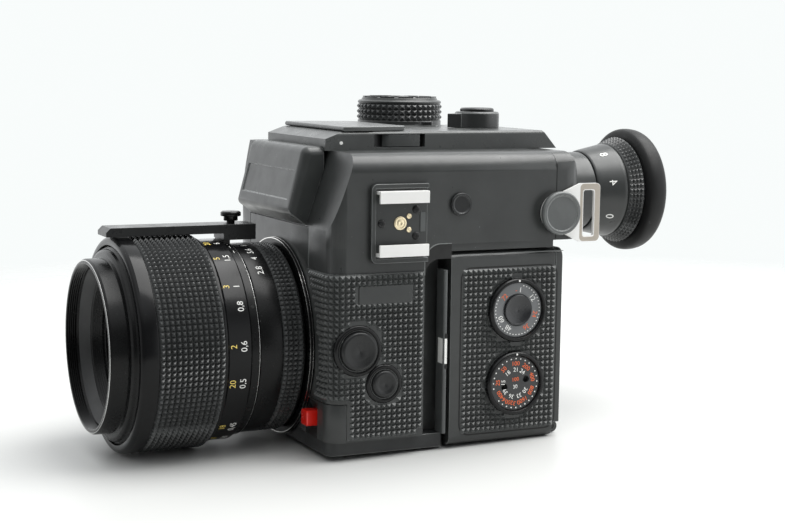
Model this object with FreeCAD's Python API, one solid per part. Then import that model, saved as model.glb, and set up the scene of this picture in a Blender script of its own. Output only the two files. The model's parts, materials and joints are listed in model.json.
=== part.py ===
"""Box-shaped 35 mm reflex camera: left/right are the photographer's, millimetres, +Z up.

The lens axis is at x = 0 and points towards -Y. The photographer's left side is +X.
The shapes are drawn with y = 0 near the film plane. export() then moves every part back
by SOCKET_Y, so that the files have their origin at the mouth of the tripod socket.
"""
import FreeCAD, Part
import math
import os
from FreeCAD import Vector

os.makedirs("parts", exist_ok=True)

# ---------------------------------------------------------------- driving dimensions
LEFT = 45.0            # left side wall, outside
RIGHT = -56.5          # right side wall, outside
FRONT = -39.0          # front plate, outside
BODY_BACK = 0.6        # back of the lower housing, where the magazine docks
DECK_BACK = 39.3       # back of the upper housing, over the magazine
DECK_FLOOR = 65.0      # underside of the upper housing behind the body
SHOULDER = 93.5        # top of the housing
WALL = 2.4             # housing wall
PLINTH = 4.5           # height of the base plinth
CORNER_LEFT = 5.0      # front corner in plan, left
CORNER_RIGHT = 28.0    # front corner in plan, right
LEAN_START = 70.0      # above this the front leans back
LEAN_TOP_Y = -31.0     # where the leaning front meets the shoulder

AXIS_Z = 31.7          # lens axis above the base
GATE_W, GATE_H = 36.0, 24.0
THROAT_R = 25.0        # lens throat in the front plate
MOUNT_R = 32.3         # silver lens mount

PLATE_HALF = 25.0      # half width of the top plate
PLATE_TOP = 99.4       # height of the top plate
PLATE_FRONT, PLATE_REAR = -33.0, 50.9
WELL_HALF = 20.0       # finder well
WELL_Y0, WELL_Y1 = -25.4, -4.4
LEAF_HINGE_X = 18.2    # side leaves of the hood
LEAF_Z = 98.2
LEAF_T = 0.7

EYE_Z = 76.8           # eyepiece axis height
EYE_TUBE_R = 13.7

DIAL_X, DIAL_Y, DIAL_R = -41.0, 24.0, 15.4
RELEASE_Y = 34.0       # top release, on the centre line
STUD_Y, STUD_Z = 39.7, 73.9
STUD_R = 7.0

MAG_FRONT, MAG_BACK, MAG_TOP = 1.8, 42.4, 62.3
DOOR_T = 2.6
COUNTER = (25.4, 43.0)     # y, z of the frame counter
SPEED = (25.0, 19.2)       # y, z of the film-speed dial
DIAL_FACE_R = 8.8

CHANNEL_Y0 = -7.5      # finger channel in the left side, in front of the slide handle
CHANNEL_TOP = 60.5
CORNER_BLOCK_Y = -34.0  # back of the smooth block at the foot of the left front corner
CORNER_BLOCK_TOP = 16.5
GRIP_T = 0.7           # thickness of the grip covers
GRIP_RING_R = 36.6     # the grip covers stop at this circle round the lens axis
CHANNEL_IN = 38.0
LEFT_BUTTONS = [(-30.4, 33.2, 6.1), (-21.5, 22.4, 4.3)]   # y, z, button radius
RED_X, RED_Z = 31.0, 10.4      # lens release
RED_HALF = 2.5
SOCKET_Y = -19.0               # tripod socket
SOCKET_OUT, SOCKET_R = 6.0, 3.175   # bush, and the 1/4 inch hole in it

CLEAR = 0.1            # running clearance
X, Y, Z = Vector(1, 0, 0), Vector(0, 1, 0), Vector(0, 0, 1)


# ---------------------------------------------------------------- shape helpers
def box(x0, x1, y0, y1, z0, z1):
    return Part.makeBox(x1 - x0, y1 - y0, z1 - z0, Vector(x0, y0, z0))


def cyl_x(x0, x1, y, z, r):
    return Part.makeCylinder(r, x1 - x0, Vector(x0, y, z), X)


def cyl_y(y0, y1, x, z, r):
    return Part.makeCylinder(r, y1 - y0, Vector(x, y0, z), Y)


def cyl_z(z0, z1, x, y, r):
    return Part.makeCylinder(r, z1 - z0, Vector(x, y, z0), Z)


def face(points):
    return Part.Face(Part.makePolygon(points + [points[0]]))


def prism_x(yz, x0, x1):
    return face([Vector(x0, y, z) for y, z in yz]).extrude(X * (x1 - x0))


def prism_y(xz, y0, y1):
    return face([Vector(x, y0, z) for x, z in xz]).extrude(Y * (y1 - y0))


def prism_z(xy, z0, z1):
    return face([Vector(x, y, z0) for x, y in xy]).extrude(Z * (z1 - z0))


def turned_y(yr, x=0.0, z=AXIS_Z):
    """A turned ring: (y, radius) outline, spun about the line along Y through x, z."""
    outline = face([Vector(x + r, y, z) for y, r in yr])
    return outline.revolve(Vector(x, 0, z), Y, 360)


def turned_x(xr, y, z):
    outline = face([Vector(x, y + r, z) for x, r in xr])
    return outline.revolve(Vector(0, y, z), X, 360)


def turned_z(zr, x, y):
    outline = face([Vector(x + r, y, z) for z, r in zr])
    return outline.revolve(Vector(x, y, 0), Z, 360)


def rounded_plan(x0, x1, y0, y1, radii, z0, z1):
    """Upright prism; radii of the corners (x0,y0), (x1,y0), (x1,y1), (x0,y1)."""
    corners = [(x0, y0, 1, 1), (x1, y0, -1, 1), (x1, y1, -1, -1), (x0, y1, 1, -1)]
    solid = box(x0, x1, y0, y1, z0, z1)
    for (cx, cy, sx, sy), r in zip(corners, radii):
        if r > 0:
            notch = box(min(cx, cx + sx * r), max(cx, cx + sx * r),
                        min(cy, cy + sy * r), max(cy, cy + sy * r), z0, z1)
            solid = solid.cut(notch).fuse(
                notch.common(cyl_z(z0, z1, cx + sx * r, cy + sy * r, r)))
    return solid.removeSplitter()


def fillet_where(shape, radius, wanted):
    edges = [e for e in shape.Edges if wanted(e)]
    return shape.makeFillet(radius, edges) if edges else shape


def runs_along(edge, axis):
    if len(edge.Vertexes) < 2:
        return False
    d = edge.Vertexes[1].Point - edge.Vertexes[0].Point
    return d.Length > 1e-6 and abs(d.normalize().dot(axis)) > 0.999


def mirrored(shape, x=0.0):
    return shape.mirror(Vector(x, 0, 0), X)


def export(name, *solids):
    shape = solids[0].copy() if len(solids) == 1 else Part.makeCompound(list(solids))
    shape.translate(Vector(0, -SOCKET_Y, 0))
    if not shape.isValid():
        print("invalid", name)
    shape.exportStep("parts/%s.step" % name)
    b = shape.BoundBox
    print("%-22s %6.0f mm3  x %.1f..%.1f y %.1f..%.1f z %.1f..%.1f" % (
        name, shape.Volume, b.XMin, b.XMax, b.YMin, b.YMax, b.ZMin, b.ZMax))
    return shape


# ---------------------------------------------------------------- housing
def housing_form(t):
    """Outside of the housing, or its cavity when t is the wall thickness."""
    side = prism_x([(FRONT + t, PLINTH + t * 0.4), (FRONT + t, LEAN_START),
                    (LEAN_TOP_Y + t * 1.1, SHOULDER - t), (DECK_BACK - t, SHOULDER - t),
                    (DECK_BACK - t, DECK_FLOOR + t), (BODY_BACK - t, DECK_FLOOR + t),
                    (BODY_BACK - t, PLINTH + t * 0.4)], RIGHT + t, LEFT - t)
    plan = rounded_plan(RIGHT + t, LEFT - t, FRONT + t, DECK_BACK - t,
                        (CORNER_RIGHT - t, CORNER_LEFT - t, 0, 0), 0, 120)
    front = box(RIGHT + t, LEFT - t, -60, 60, -1, SHOULDER - t)
    front = front.makeFillet(6.0 - t * 0.8, [e for e in front.Edges if runs_along(e, Y)
                                             and e.BoundBox.ZMin > 50])
    return side.common(plan).common(front)


def finger_channel(t=0.0):
    y1 = BODY_BACK + 1
    cut = box(CHANNEL_IN - t, LEFT + 1, CHANNEL_Y0 - t, y1, 0, CHANNEL_TOP + t)
    return fillet_where(cut, 5.0, lambda e: runs_along(e, X) and e.BoundBox.ZMin > 50
                        and e.BoundBox.YMax < CHANNEL_Y0 + 1)


def make_housing():
    outer = housing_form(0.0)
    block = rounded_plan(26.6, LEFT + GRIP_T, FRONT - GRIP_T, CORNER_BLOCK_Y,
                         (0, CORNER_LEFT + GRIP_T, 0, 0), PLINTH, CORNER_BLOCK_TOP)
    outer = outer.fuse(block.cut(cyl_y(FRONT - 5, FRONT, 0, AXIS_Z, MOUNT_R + 0.3)))
    inner = housing_form(WALL).cut(finger_channel(1.6))
    shell = outer.cut(inner).cut(finger_channel())
    # openings: lens throat, film gate, finder well, eyepiece, top controls
    shell = shell.cut(cyl_y(FRONT - 1, FRONT + WALL + 1, 0, AXIS_Z, MOUNT_R - 1.5))
    shell = shell.cut(box(-26.0, 26.4, FRONT - 1, FRONT + WALL, PLINTH - 1, LEAN_START))
    shell = shell.cut(box(-GATE_W / 2, GATE_W / 2, BODY_BACK - 4, BODY_BACK + 1,
                          AXIS_Z - GATE_H / 2, AXIS_Z + GATE_H / 2))
    shell = shell.cut(box(-WELL_HALF, WELL_HALF, WELL_Y0, WELL_Y1, SHOULDER - 5, SHOULDER + 1))
    shell = shell.cut(cyl_y(DECK_BACK - 5, DECK_BACK + 1, 0, EYE_Z, EYE_TUBE_R - 2))
    pedestal = cyl_z(SHOULDER - 1, SHOULDER + 4.6, DIAL_X, DIAL_Y, DIAL_R - 1.0)
    spindle = cyl_z(SHOULDER + 4, SHOULDER + 10, DIAL_X, DIAL_Y, 3.0)
    shell = shell.fuse(pedestal).fuse(spindle)
    # seats for the two bezels, the strap studs and the sync socket on the left side
    for y, z, r in LEFT_BUTTONS:
        shell = shell.fuse(turned_x([(LEFT - 4, 0), (LEFT - 4, r + 1.7), (LEFT + 0.5, r + 1.7),
                                     (LEFT + 1.1, r + 1.2), (LEFT + 1.1, 0)], y, z))
        shell = shell.cut(cyl_x(LEFT - 2.6, LEFT + 2, y, z, r + 0.15))
        shell = shell.cut(cyl_x(LEFT - 9, LEFT + 2, y, z, 2.0))
    shell = shell.cut(cyl_x(LEFT - 1.2, LEFT + 1, 4.6, 77.5, 2.9))
    shell = shell.cut(cyl_z(PLINTH - 1, PLINTH + 3, 0, SOCKET_Y, SOCKET_OUT))
    shell = shell.cut(lens_release_seat()).cut(finger_scoop())
    return shell.removeSplitter()


def split_housing(shell):
    """Lower housing, and the finder housing above it, parted level with the magazine's top."""
    below = box(RIGHT - 5, LEFT + 5, FRONT - 10, DECK_BACK + 5, -5, DECK_FLOOR)
    return shell.common(below), shell.cut(below)


def magazine_rail():
    """Strip under the finder housing, just over the magazine's top, on the left side."""
    return box(LEFT - 7.0, LEFT - 0.5, MAG_FRONT - 1.0, DECK_BACK - 0.4, MAG_TOP + 0.4, DECK_FLOOR)


def finger_scoop():
    """Shallow hollow round the lens release, for the thumb."""
    return cyl_x(RED_X - 4.2, RED_X + 5.0, FRONT - 7.4, RED_Z, 9.0)


def lens_release_seat():
    gap = RED_HALF + 0.2
    return box(RED_X - gap, RED_X + gap, FRONT - 1, FRONT + 6, RED_Z - gap, RED_Z + gap)


def make_front_plate():
    outline = [(-25.8, PLINTH + 0.2), (26.2, PLINTH + 0.2), (26.2, LEAN_START - 0.2),
               (-25.8, LEAN_START - 0.2)]
    plate = prism_y(outline, FRONT, FRONT + WALL - 0.1)
    return plate.cut(cyl_y(FRONT - 1, FRONT + 5, 0, AXIS_Z, THROAT_R))


def make_plinth():
    plinth = rounded_plan(RIGHT + 2, LEFT - 2, FRONT, BODY_BACK, (3, 3, 1, 1), 0, PLINTH)
    plinth = plinth.cut(cyl_z(-1, PLINTH + 1, 0, SOCKET_Y, SOCKET_OUT))
    return plinth.cut(cyl_y(FRONT - 1, FRONT + 1.2, 0, AXIS_Z, MOUNT_R + 0.2))


def make_tripod_bush():
    length = PLINTH + 4.0
    bush = cyl_z(0, PLINTH, 0, SOCKET_Y, SOCKET_OUT)
    bush = bush.fuse(cyl_z(PLINTH, length, 0, SOCKET_Y, SOCKET_OUT - 0.2))
    return bush.cut(cyl_z(-1, length - 1.0, 0, SOCKET_Y, SOCKET_R))


# ---------------------------------------------------------------- finder front, top plate, hood
def make_nose():
    """Slanted front of the finder, a hollow cover with a shallow name panel left blank."""
    half = 24.4
    outline = [(FRONT - 0.1, 70.1), (-45.0, 74.5), (-39.6, 94.8),
               (PLATE_FRONT - 0.1, 94.8), (PLATE_FRONT - 0.1, 87.0)]
    nose = prism_x(outline, -half, half)
    nose = fillet_where(nose, 2.8, lambda e: e.BoundBox.YMin < FRONT - 0.5
                        and (e.BoundBox.ZMin > 74.0))
    pocket = prism_x([(-39.6, 73.5), (-43.0, 75.8), (-38.8, 91.0), (-35.0, 91.0)],
                     -half + 2, half - 2)
    panel = prism_x([(-44.6, 78.0), (-43.65, 78.2), (-41.25, 87.2), (-42.4, 87.2)], -20.5, 20.5)
    lean = housing_form(-0.1)
    return nose.cut(pocket).cut(panel).cut(lean)


def make_top_plate():
    outline = [(PLATE_FRONT, SHOULDER), (PLATE_FRONT, 97.2), (-27.2, PLATE_TOP),
               (45.7, PLATE_TOP), (PLATE_REAR, SHOULDER)]
    plate = prism_x(outline, -PLATE_HALF, PLATE_HALF)
    plate = fillet_where(plate, 1.2, lambda e: runs_along(e, Y)
                         and abs(e.BoundBox.ZMin - PLATE_TOP) < 0.01)
    plate = plate.cut(box(-WELL_HALF, WELL_HALF, WELL_Y0, WELL_Y1, SHOULDER - 1, PLATE_TOP + 1))
    plate = plate.cut(box(PLATE_HALF - 3.2, PLATE_HALF + 1, -16.2, 1.8, 94.4, 98.6))
    plate = plate.cut(cyl_z(PLATE_TOP - 4.0, PLATE_TOP + 1, *LOCK_XY, 2.3 + CLEAR))
    plate = plate.fuse(cyl_z(PLATE_TOP - 4, PLATE_TOP + 0.4, *LOCK_XY, 4.0).cut(
        cyl_z(PLATE_TOP - 4, PLATE_TOP + 1, *LOCK_XY, 2.3 + CLEAR)))
    return plate.cut(cyl_z(PLATE_TOP - 4.5, PLATE_TOP + 1, 0, RELEASE_Y, 3.2))


LOCK_XY = (-13.0, 21.0)
LID_PIVOT_Y, LID_T = -26.25, 1.5
LID_Z = PLATE_TOP + 0.1


def make_lid():
    outline = [(-24.8, LID_PIVOT_Y), (24.8, LID_PIVOT_Y), (24.8, -18.0), (21.6, -4.6),
               (19.8, -3.0), (-19.8, -3.0), (-21.6, -4.6), (-24.8, -18.0)]
    lid = prism_z(outline, LID_Z, LID_Z + LID_T)
    roll = cyl_x(-24.8, 24.8, LID_PIVOT_Y, LID_Z + LID_T / 2, LID_T / 2)
    return lid.fuse(roll).removeSplitter()


LEAF_W = 17.0


def make_left_leaf():
    outline = [(LEAF_HINGE_X, -24.4), (LEAF_HINGE_X - 0.9, -24.4),
               (LEAF_HINGE_X - LEAF_W, -8.2), (LEAF_HINGE_X - LEAF_W, -5.6),
               (LEAF_HINGE_X, -5.6)]
    leaf = prism_z(outline, LEAF_Z - LEAF_T / 2, LEAF_Z + LEAF_T / 2)
    return leaf.fuse(cyl_y(-24.4, -5.6, LEAF_HINGE_X, LEAF_Z, 0.6))


REAR_LEAF_Y, REAR_LEAF_Z = -5.2, LEAF_Z - 1.3


def make_rear_leaf():
    outline = [(-16.4, REAR_LEAF_Y), (16.4, REAR_LEAF_Y), (5.6, REAR_LEAF_Y - 11.0),
               (-5.6, REAR_LEAF_Y - 11.0)]
    leaf = prism_z(outline, REAR_LEAF_Z - LEAF_T / 2, REAR_LEAF_Z + LEAF_T / 2)
    return leaf.fuse(cyl_x(-16.4, 16.4, REAR_LEAF_Y, REAR_LEAF_Z, 0.5))


def make_latch():
    block = prism_z([(PLATE_HALF - 3.0, -12.6), (PLATE_HALF - 1.4, -12.6), (PLATE_HALF - 0.2, -10.8),
                     (PLATE_HALF - 0.2, 0.0), (PLATE_HALF - 3.0, 0.0)], 94.6, 98.4)
    return block


# ---------------------------------------------------------------- finder inside and behind
def make_finder_block():
    """Rear of the finder: wide at the seam, narrowing to the eyepiece tube."""
    y0, y1 = DECK_BACK + 0.2, 50.0
    side = prism_x([(y0, DECK_FLOOR), (y1 - 0.6, DECK_FLOOR), (y1, 70.0), (y1, 84.0),
                    (45.4, SHOULDER - 0.1), (y0, SHOULDER - 0.1)], RIGHT, LEFT)
    plan = rounded_plan(RIGHT, LEFT, y0 - 1, y1, (0, 0, 7.0, 7.0), 0, 120)
    top = box(RIGHT, LEFT, 0, 60, -1, SHOULDER - 0.1)
    top = top.makeFillet(6.0, [e for e in top.Edges if runs_along(e, Y) and e.BoundBox.ZMin > 50])
    block = side.common(plan).common(top)
    cavity = box(RIGHT + WALL, LEFT - WALL, y0 - 1, 44.0, DECK_FLOOR + WALL, SHOULDER - 3.4)
    cavity = cavity.makeFillet(4.0, [e for e in cavity.Edges if runs_along(e, Y)])
    block = block.cut(cavity)
    return block.cut(cyl_y(40, 60, 0, EYE_Z, EYE_TUBE_R - 2.0))


def make_eyepiece_tube():
    r = EYE_TUBE_R
    return turned_y([(50.0, r - 2.0), (50.0, r + 0.5), (51.4, r + 0.3), (52.0, r), (74.6, r),
                     (74.6, r - 1.0), (85.0, r - 1.0), (85.0, r - 2.6), (51.0, r - 2.6),
                     (44.2, r - 2.6), (44.2, r - 2.1), (50.0, r - 2.1)], 0, EYE_Z)


def make_dioptre_ring():
    inner = EYE_TUBE_R - 1.0 + 0.08
    return turned_y([(75.0, inner), (75.0, 14.2), (76.6, 14.6), (84.6, 16.4), (85.8, 16.4),
                     (86.0, 16.7), (91.6, 19.2), (91.6, 17.8), (87.0, 14.6), (87.0, inner)],
                    0, EYE_Z)


def make_eyecup():
    return turned_y([(91.8, 14.6), (91.8, 20.4), (92.6, 21.5), (94.0, 21.8), (96.4, 21.6),
                     (98.6, 20.8), (99.6, 19.4), (99.4, 18.0), (98.0, 17.2), (94.0, 16.4)],
                    0, EYE_Z)


def make_eye_lens():
    return turned_y([(80.0, 0), (78.8, 4.5), (77.4, 8.0), (77.4, 11.0), (82.6, 11.0),
                     (82.6, 8.0), (83.6, 4.5), (84.0, 0)], 0, EYE_Z)


def make_prism():
    """Mirror block that turns the screen's image towards the eyepiece."""
    return prism_x([(-32.0, 58.0), (-32.0, 74.0), (-25.0, 89.0), (-11.0, 89.0),
                    (-7.0, 84.0), (-7.0, 62.0), (-11.0, 58.0)], -17.0, 17.0)


# ---------------------------------------------------------------- controls on top
def make_shutter_dial():
    z0, z1 = SHOULDER + 5.0, 109.5
    dial = turned_z([(z0, 3.0 + CLEAR), (z0, DIAL_R - 0.8), (z0 + 0.6, DIAL_R), (z1 - 2.6, DIAL_R),
                     (z1 - 2.0, DIAL_R - 0.5), (z1 - 2.0, DIAL_R - 1.6), (z1 - 1.0, DIAL_R - 1.6),
                     (z1 - 0.6, DIAL_R - 2.4), (z1 - 0.6, 3.8), (z0 + 5.5, 3.8),
                     (z0 + 5.5, 3.0 + CLEAR)], DIAL_X, DIAL_Y)
    cap = cyl_z(z1 - 2.2, z1 - 0.9, DIAL_X, DIAL_Y, 3.8)
    tab = box(DIAL_X - 1.0, DIAL_X + 1.0, DIAL_Y - DIAL_R + 2.6, DIAL_Y - 6.0, z1 - 0.6, z1)
    return dial.fuse(cap).fuse(tab)


def make_lock_button():
    x, y = LOCK_XY
    button = cyl_z(PLATE_TOP - 2.2, PLATE_TOP + 1.6, x, y, 2.3)
    return button.cut(cyl_z(PLATE_TOP + 1.1, PLATE_TOP + 2, x, y, 1.2))


def make_release_collar():
    collar = turned_z([(PLATE_TOP + 0.1, 3.4), (PLATE_TOP + 0.1, 7.6), (104.4, 7.6), (104.9, 7.1),
                       (104.9, 5.95), (101.2, 5.95), (101.2, 3.4)], 0, RELEASE_Y)
    wedge = prism_z([(-2.6, RELEASE_Y - 6.8), (2.6, RELEASE_Y - 6.8), (0, RELEASE_Y - 11.4)],
                    PLATE_TOP + 0.1, 104.2)
    return collar.fuse(wedge.cut(cyl_z(PLATE_TOP, 106, 0, RELEASE_Y, 7.0)))


def make_top_release():
    return turned_z([(96.2, 0), (96.2, 3.0), (102.4, 3.0), (102.4, 5.8), (105.8, 5.8),
                     (106.2, 5.2), (105.5, 0)], 0, RELEASE_Y)


# ---------------------------------------------------------------- left side
def side_button(y, z, r, crown):
    """Button in a bezel on the left side: stem, skirt and a domed or dished head."""
    return turned_x([(LEFT - 7.0, 0), (LEFT - 7.0, 1.9), (LEFT - 0.8, 1.9), (LEFT - 0.8, r),
                     (LEFT + 1.7, r), (LEFT + 2.2, r - 0.6), (LEFT + 2.2 + crown, 0)], y, z)


PANEL_Z0, PANEL_Z1 = 5.2, 56.9
PANEL_REAR = -8.0
PANEL_CORNER = 6.0


def left_grip(t0, t1):
    """Sheet wrapped round the front left corner, from t0 to t1 outside the housing."""
    outside = rounded_plan(-10, LEFT + t1, FRONT - t1, PANEL_REAR, (0, CORNER_LEFT + t1, 0, 0),
                           PANEL_Z0, PANEL_Z1)
    inside = rounded_plan(-20, LEFT + t0, FRONT - t0, 0.0, (0, CORNER_LEFT + t0, 0, 0), 0, 80)
    y, z = PANEL_REAR - PANEL_CORNER, PANEL_Z0 + PANEL_CORNER
    corner = box(0, LEFT + 5, y, 0, 0, z).cut(cyl_x(-1, LEFT + 6, y, z, PANEL_CORNER))
    return outside.cut(inside).cut(corner)


def make_left_grip():
    sheet = left_grip(0.0, GRIP_T)
    sheet = sheet.cut(box(-20, 26.6, -60, 0, 0, 80))
    sheet = sheet.cut(cyl_y(-60, 0, 0, AXIS_Z, GRIP_RING_R))
    sheet = sheet.cut(box(20, 60, -60, CORNER_BLOCK_Y + 0.2, 0, CORNER_BLOCK_TOP + 0.3))
    for y, z, r in LEFT_BUTTONS:
        sheet = sheet.cut(cyl_x(LEFT - 9, LEFT + 3, y, z, r + 1.9))
    return sheet


def make_right_grip():
    """Grip cover on the right side, the same sheet without its buttons."""
    outside = rounded_plan(RIGHT - GRIP_T, -27.0, FRONT - GRIP_T, -3.0,
                           (CORNER_RIGHT + GRIP_T, 0, 0, 0), PANEL_Z0, PANEL_Z1)
    inside = rounded_plan(RIGHT, 0.0, FRONT, 5.0, (CORNER_RIGHT, 0, 0, 0), 0, 80)
    return outside.cut(inside).cut(cyl_y(-60, 0, 0, AXIS_Z, GRIP_RING_R))


SHOE_Y0, SHOE_Y1, SHOE_Z0, SHOE_Z1 = -26.6, -7.2, 60.0, 84.4
SHOE_MID = 72.2
RAIL_GAP, RAIL_OUT = 12.7, 20.15       # between the lips, and over the rails
SHOE_FLOOR = LEFT + 0.6


def make_shoe_base():
    base = box(LEFT, LEFT + 0.6, SHOE_Y0, SHOE_Y1, SHOE_Z0, SHOE_Z1)
    base = fillet_where(base, 2.0, lambda e: runs_along(e, X) and e.BoundBox.YMax < SHOE_Y0 + 1)
    rim = box(LEFT + 0.6, LEFT + 1.6, SHOE_Y0, SHOE_Y1, SHOE_Z0, SHOE_Z1)
    rim = fillet_where(rim, 2.0, lambda e: runs_along(e, X) and e.BoundBox.YMax < SHOE_Y0 + 1)
    rim = rim.cut(box(LEFT, LEFT + 3, SHOE_Y0 + 1.4, SHOE_Y1 + 1, SHOE_Z0 + 1.4, SHOE_Z1 - 1.4))
    return base.fuse(rim)


def make_shoe_rails():
    z0, z1 = SHOE_MID - RAIL_OUT / 2, SHOE_MID + RAIL_OUT / 2
    lip = (RAIL_OUT - RAIL_GAP) / 2
    low = prism_y([(SHOE_FLOOR, z0), (SHOE_FLOOR + 3.4, z0), (SHOE_FLOOR + 3.4, z0 + lip),
                   (SHOE_FLOOR + 2.5, z0 + lip), (SHOE_FLOOR + 2.5, z0 + 1.0),
                   (SHOE_FLOOR, z0 + 1.0)], -24.8, -8.1)
    return low, low.mirror(Vector(0, 0, SHOE_MID), Z)


def make_shoe_contacts():
    big = cyl_x(SHOE_FLOOR, SHOE_FLOOR + 0.35, -16.6, SHOE_MID, 2.1)
    small = [cyl_x(SHOE_FLOOR, SHOE_FLOOR + 0.35, -13.6, SHOE_MID + dz, 0.85) for dz in (-2.1, 2.1)]
    return [big] + small


def make_shoe_screws():
    screws = []
    for y, z in ((-22.8, SHOE_MID), (-11.1, SHOE_MID - 4.1), (-11.1, SHOE_MID + 4.1)):
        head = turned_x([(SHOE_FLOOR, 0), (SHOE_FLOOR, 1.25), (SHOE_FLOOR + 0.35, 1.2),
                         (SHOE_FLOOR + 0.55, 0.7), (SHOE_FLOOR + 0.55, 0)], y, z)
        slot = box(SHOE_FLOOR + 0.25, SHOE_FLOOR + 1, y - 0.8, y + 0.8, z - 0.14, z + 0.14)
        cross = box(SHOE_FLOOR + 0.25, SHOE_FLOOR + 1, y - 0.14, y + 0.14, z - 0.8, z + 0.8)
        screws.append(head.cut(slot).cut(cross))
    return screws


def make_sync_cap():
    return turned_x([(LEFT - 1.1, 0), (LEFT - 1.1, 2.8), (LEFT + 0.1, 2.8), (LEFT + 0.1, 3.6),
                     (LEFT + 1.0, 3.6), (LEFT + 1.2, 3.3), (LEFT + 1.2, 2.9), (LEFT + 0.8, 2.7),
                     (LEFT + 0.8, 0)], 4.6, 77.5)


def make_strap_stud():
    """Round two-step stud that carries a strap bracket."""
    return turned_x([(LEFT, 0), (LEFT, 4.2), (LEFT + 1.8, 4.2), (LEFT + 1.8, STUD_R),
                     (LEFT + 3.4, STUD_R), (LEFT + 3.8, STUD_R - 0.4), (LEFT + 3.8, STUD_R - 1.2),
                     (LEFT + 3.4, STUD_R - 1.4), (LEFT + 3.4, 0)], STUD_Y, STUD_Z)


BRACKET_X0, BRACKET_X1 = LEFT + 0.4, LEFT + 1.5


def make_strap_bracket():
    """Flat steel bracket round the stud, opening into a loop for the strap."""
    loop = rounded_plan(47.4, 55.0, 64.3, 83.2, (0, 1.4, 1.4, 0), BRACKET_X0, BRACKET_X1)
    slot = rounded_plan(48.7, 52.8, 66.0, 81.0, (0.8, 0.8, 0.8, 0.8), 0, 90)
    web = prism_z([(STUD_Y, STUD_Z - 5.9), (47.5, 64.3), (47.5, 83.2), (STUD_Y, STUD_Z + 6.1)],
                  BRACKET_X0, BRACKET_X1)
    disc = cyl_z(BRACKET_X0, BRACKET_X1, STUD_Y, STUD_Z, 6.3)
    flat = loop.fuse(web).fuse(disc).cut(slot)
    flat = flat.cut(cyl_z(0, 90, STUD_Y, STUD_Z, 4.2 + CLEAR))
    # drawn flat as (y, z, x), then stood up so that its thickness runs along X
    turn = FreeCAD.Matrix(0, 0, 1, 0, 1, 0, 0, 0, 0, 1, 0, 0, 0, 0, 0, 1)
    return flat.transformGeometry(turn)


# ---------------------------------------------------------------- mirror, screen, shutter, drive
BOX_HALF = 20.6
MIRROR_PIVOT = (-9.5, 46.5)
MIRROR_LEN, MIRROR_T = 25.2, 1.4


def make_mirror_box():
    outer = box(-BOX_HALF - 1, BOX_HALF + 1, -36.4, -6.2, 14.0, 51.4)
    outer = outer.cut(box(-BOX_HALF, BOX_HALF, -37, -7.2, 15.0, 50.4))
    outer = outer.cut(box(-GATE_W / 2, GATE_W / 2, -8, -6, AXIS_Z - GATE_H / 2, AXIS_Z + GATE_H / 2))
    outer = outer.cut(box(-17.6, 17.6, -34.0, -9.4, 50, 52))
    ledge = box(-BOX_HALF, BOX_HALF, -36.4, -7.2, 48.1, 48.4)
    ledge = ledge.cut(box(-17.6, 17.6, -34.0, -9.4, 48, 49))
    return outer.fuse(ledge)


def make_mirror():
    y0, z0 = MIRROR_PIVOT
    plate = box(-17.0, 17.0, y0 - MIRROR_LEN, y0, z0 - MIRROR_T / 2, z0 + MIRROR_T / 2)
    plate = plate.fuse(cyl_x(-18.6, 18.6, y0, z0, 0.9))
    return plate.rotated(Vector(0, y0, z0), X, 45)


def make_screen():
    return box(-BOX_HALF + 0.1, BOX_HALF - 0.1, -36.2, -7.3, 48.5, 50.2)


def make_shutter_frame():
    frame = box(-24.0, 24.0, -6.1, -2.0, 12.0, 75.0)
    frame = frame.cut(box(-20.6, 20.6, -5.5, -2.6, 14.0, 74.0))
    return frame.cut(box(-GATE_W / 2, GATE_W / 2, -7, -1, AXIS_Z - GATE_H / 2, AXIS_Z + GATE_H / 2))


CURTAIN_H = 26.0
CURTAIN_Z0 = AXIS_Z - CURTAIN_H / 2
CURTAIN_STEP = CURTAIN_H + 0.6


def curtain(y, z):
    """One curtain: four thin slats held as one, with the slats lapped like tiles."""
    slat = CURTAIN_H / 4
    body = box(-20.2, 20.2, y, y + 0.3, z, z + CURTAIN_H)
    for i in range(4):
        body = body.fuse(box(-20.2, 20.2, y - 0.25, y, z + i * slat, z + i * slat + slat * 0.6))
    return body


GEAR_X, PINION_Y, PINION_TEETH, GEAR_TEETH, MODULE = 29.0, -24.0, 10, 24, 0.6
GEAR_Y = PINION_Y + MODULE * (PINION_TEETH + GEAR_TEETH) / 2 + 0.1


def gear(x, y, teeth, bore, z0, z1, phase):
    """Spur gear with straight-flanked teeth."""
    pitch = MODULE * teeth / 2
    root, tip = pitch - 1.15 * MODULE, pitch + 0.85 * MODULE
    step = 2 * math.pi / teeth
    points = []
    for i in range(teeth):
        middle = phase + i * step
        for radius, part in ((root, -0.30), (tip, -0.11), (tip, 0.11), (root, 0.30)):
            angle = middle + part * step
            points.append((x + radius * math.cos(angle), y + radius * math.sin(angle)))
    return prism_z(points, z0, z1).cut(cyl_z(z0 - 1, z1 + 1, x, y, bore))


def make_drive_gear():
    toothed = gear(GEAR_X, GEAR_Y, GEAR_TEETH, 1.2, 57.0, 60.0, -math.pi / 2)
    return toothed.fuse(cyl_z(53.0, 62.0, GEAR_X, GEAR_Y, 1.3))


def make_pinion():
    phase = math.pi / 2 + math.pi / PINION_TEETH
    toothed = gear(GEAR_X, PINION_Y, PINION_TEETH, 0.8, 56.8, 60.2, phase)
    return toothed.fuse(cyl_z(55.2, 61.0, GEAR_X, PINION_Y, 0.9))


def make_motor():
    can = cyl_z(20.0, 53.5, GEAR_X, PINION_Y, 6.4)
    can = can.fuse(cyl_z(53.5, 54.8, GEAR_X, PINION_Y, 3.0))
    return can.fuse(cyl_z(18.4, 20.0, GEAR_X, PINION_Y, 2.4))


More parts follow.
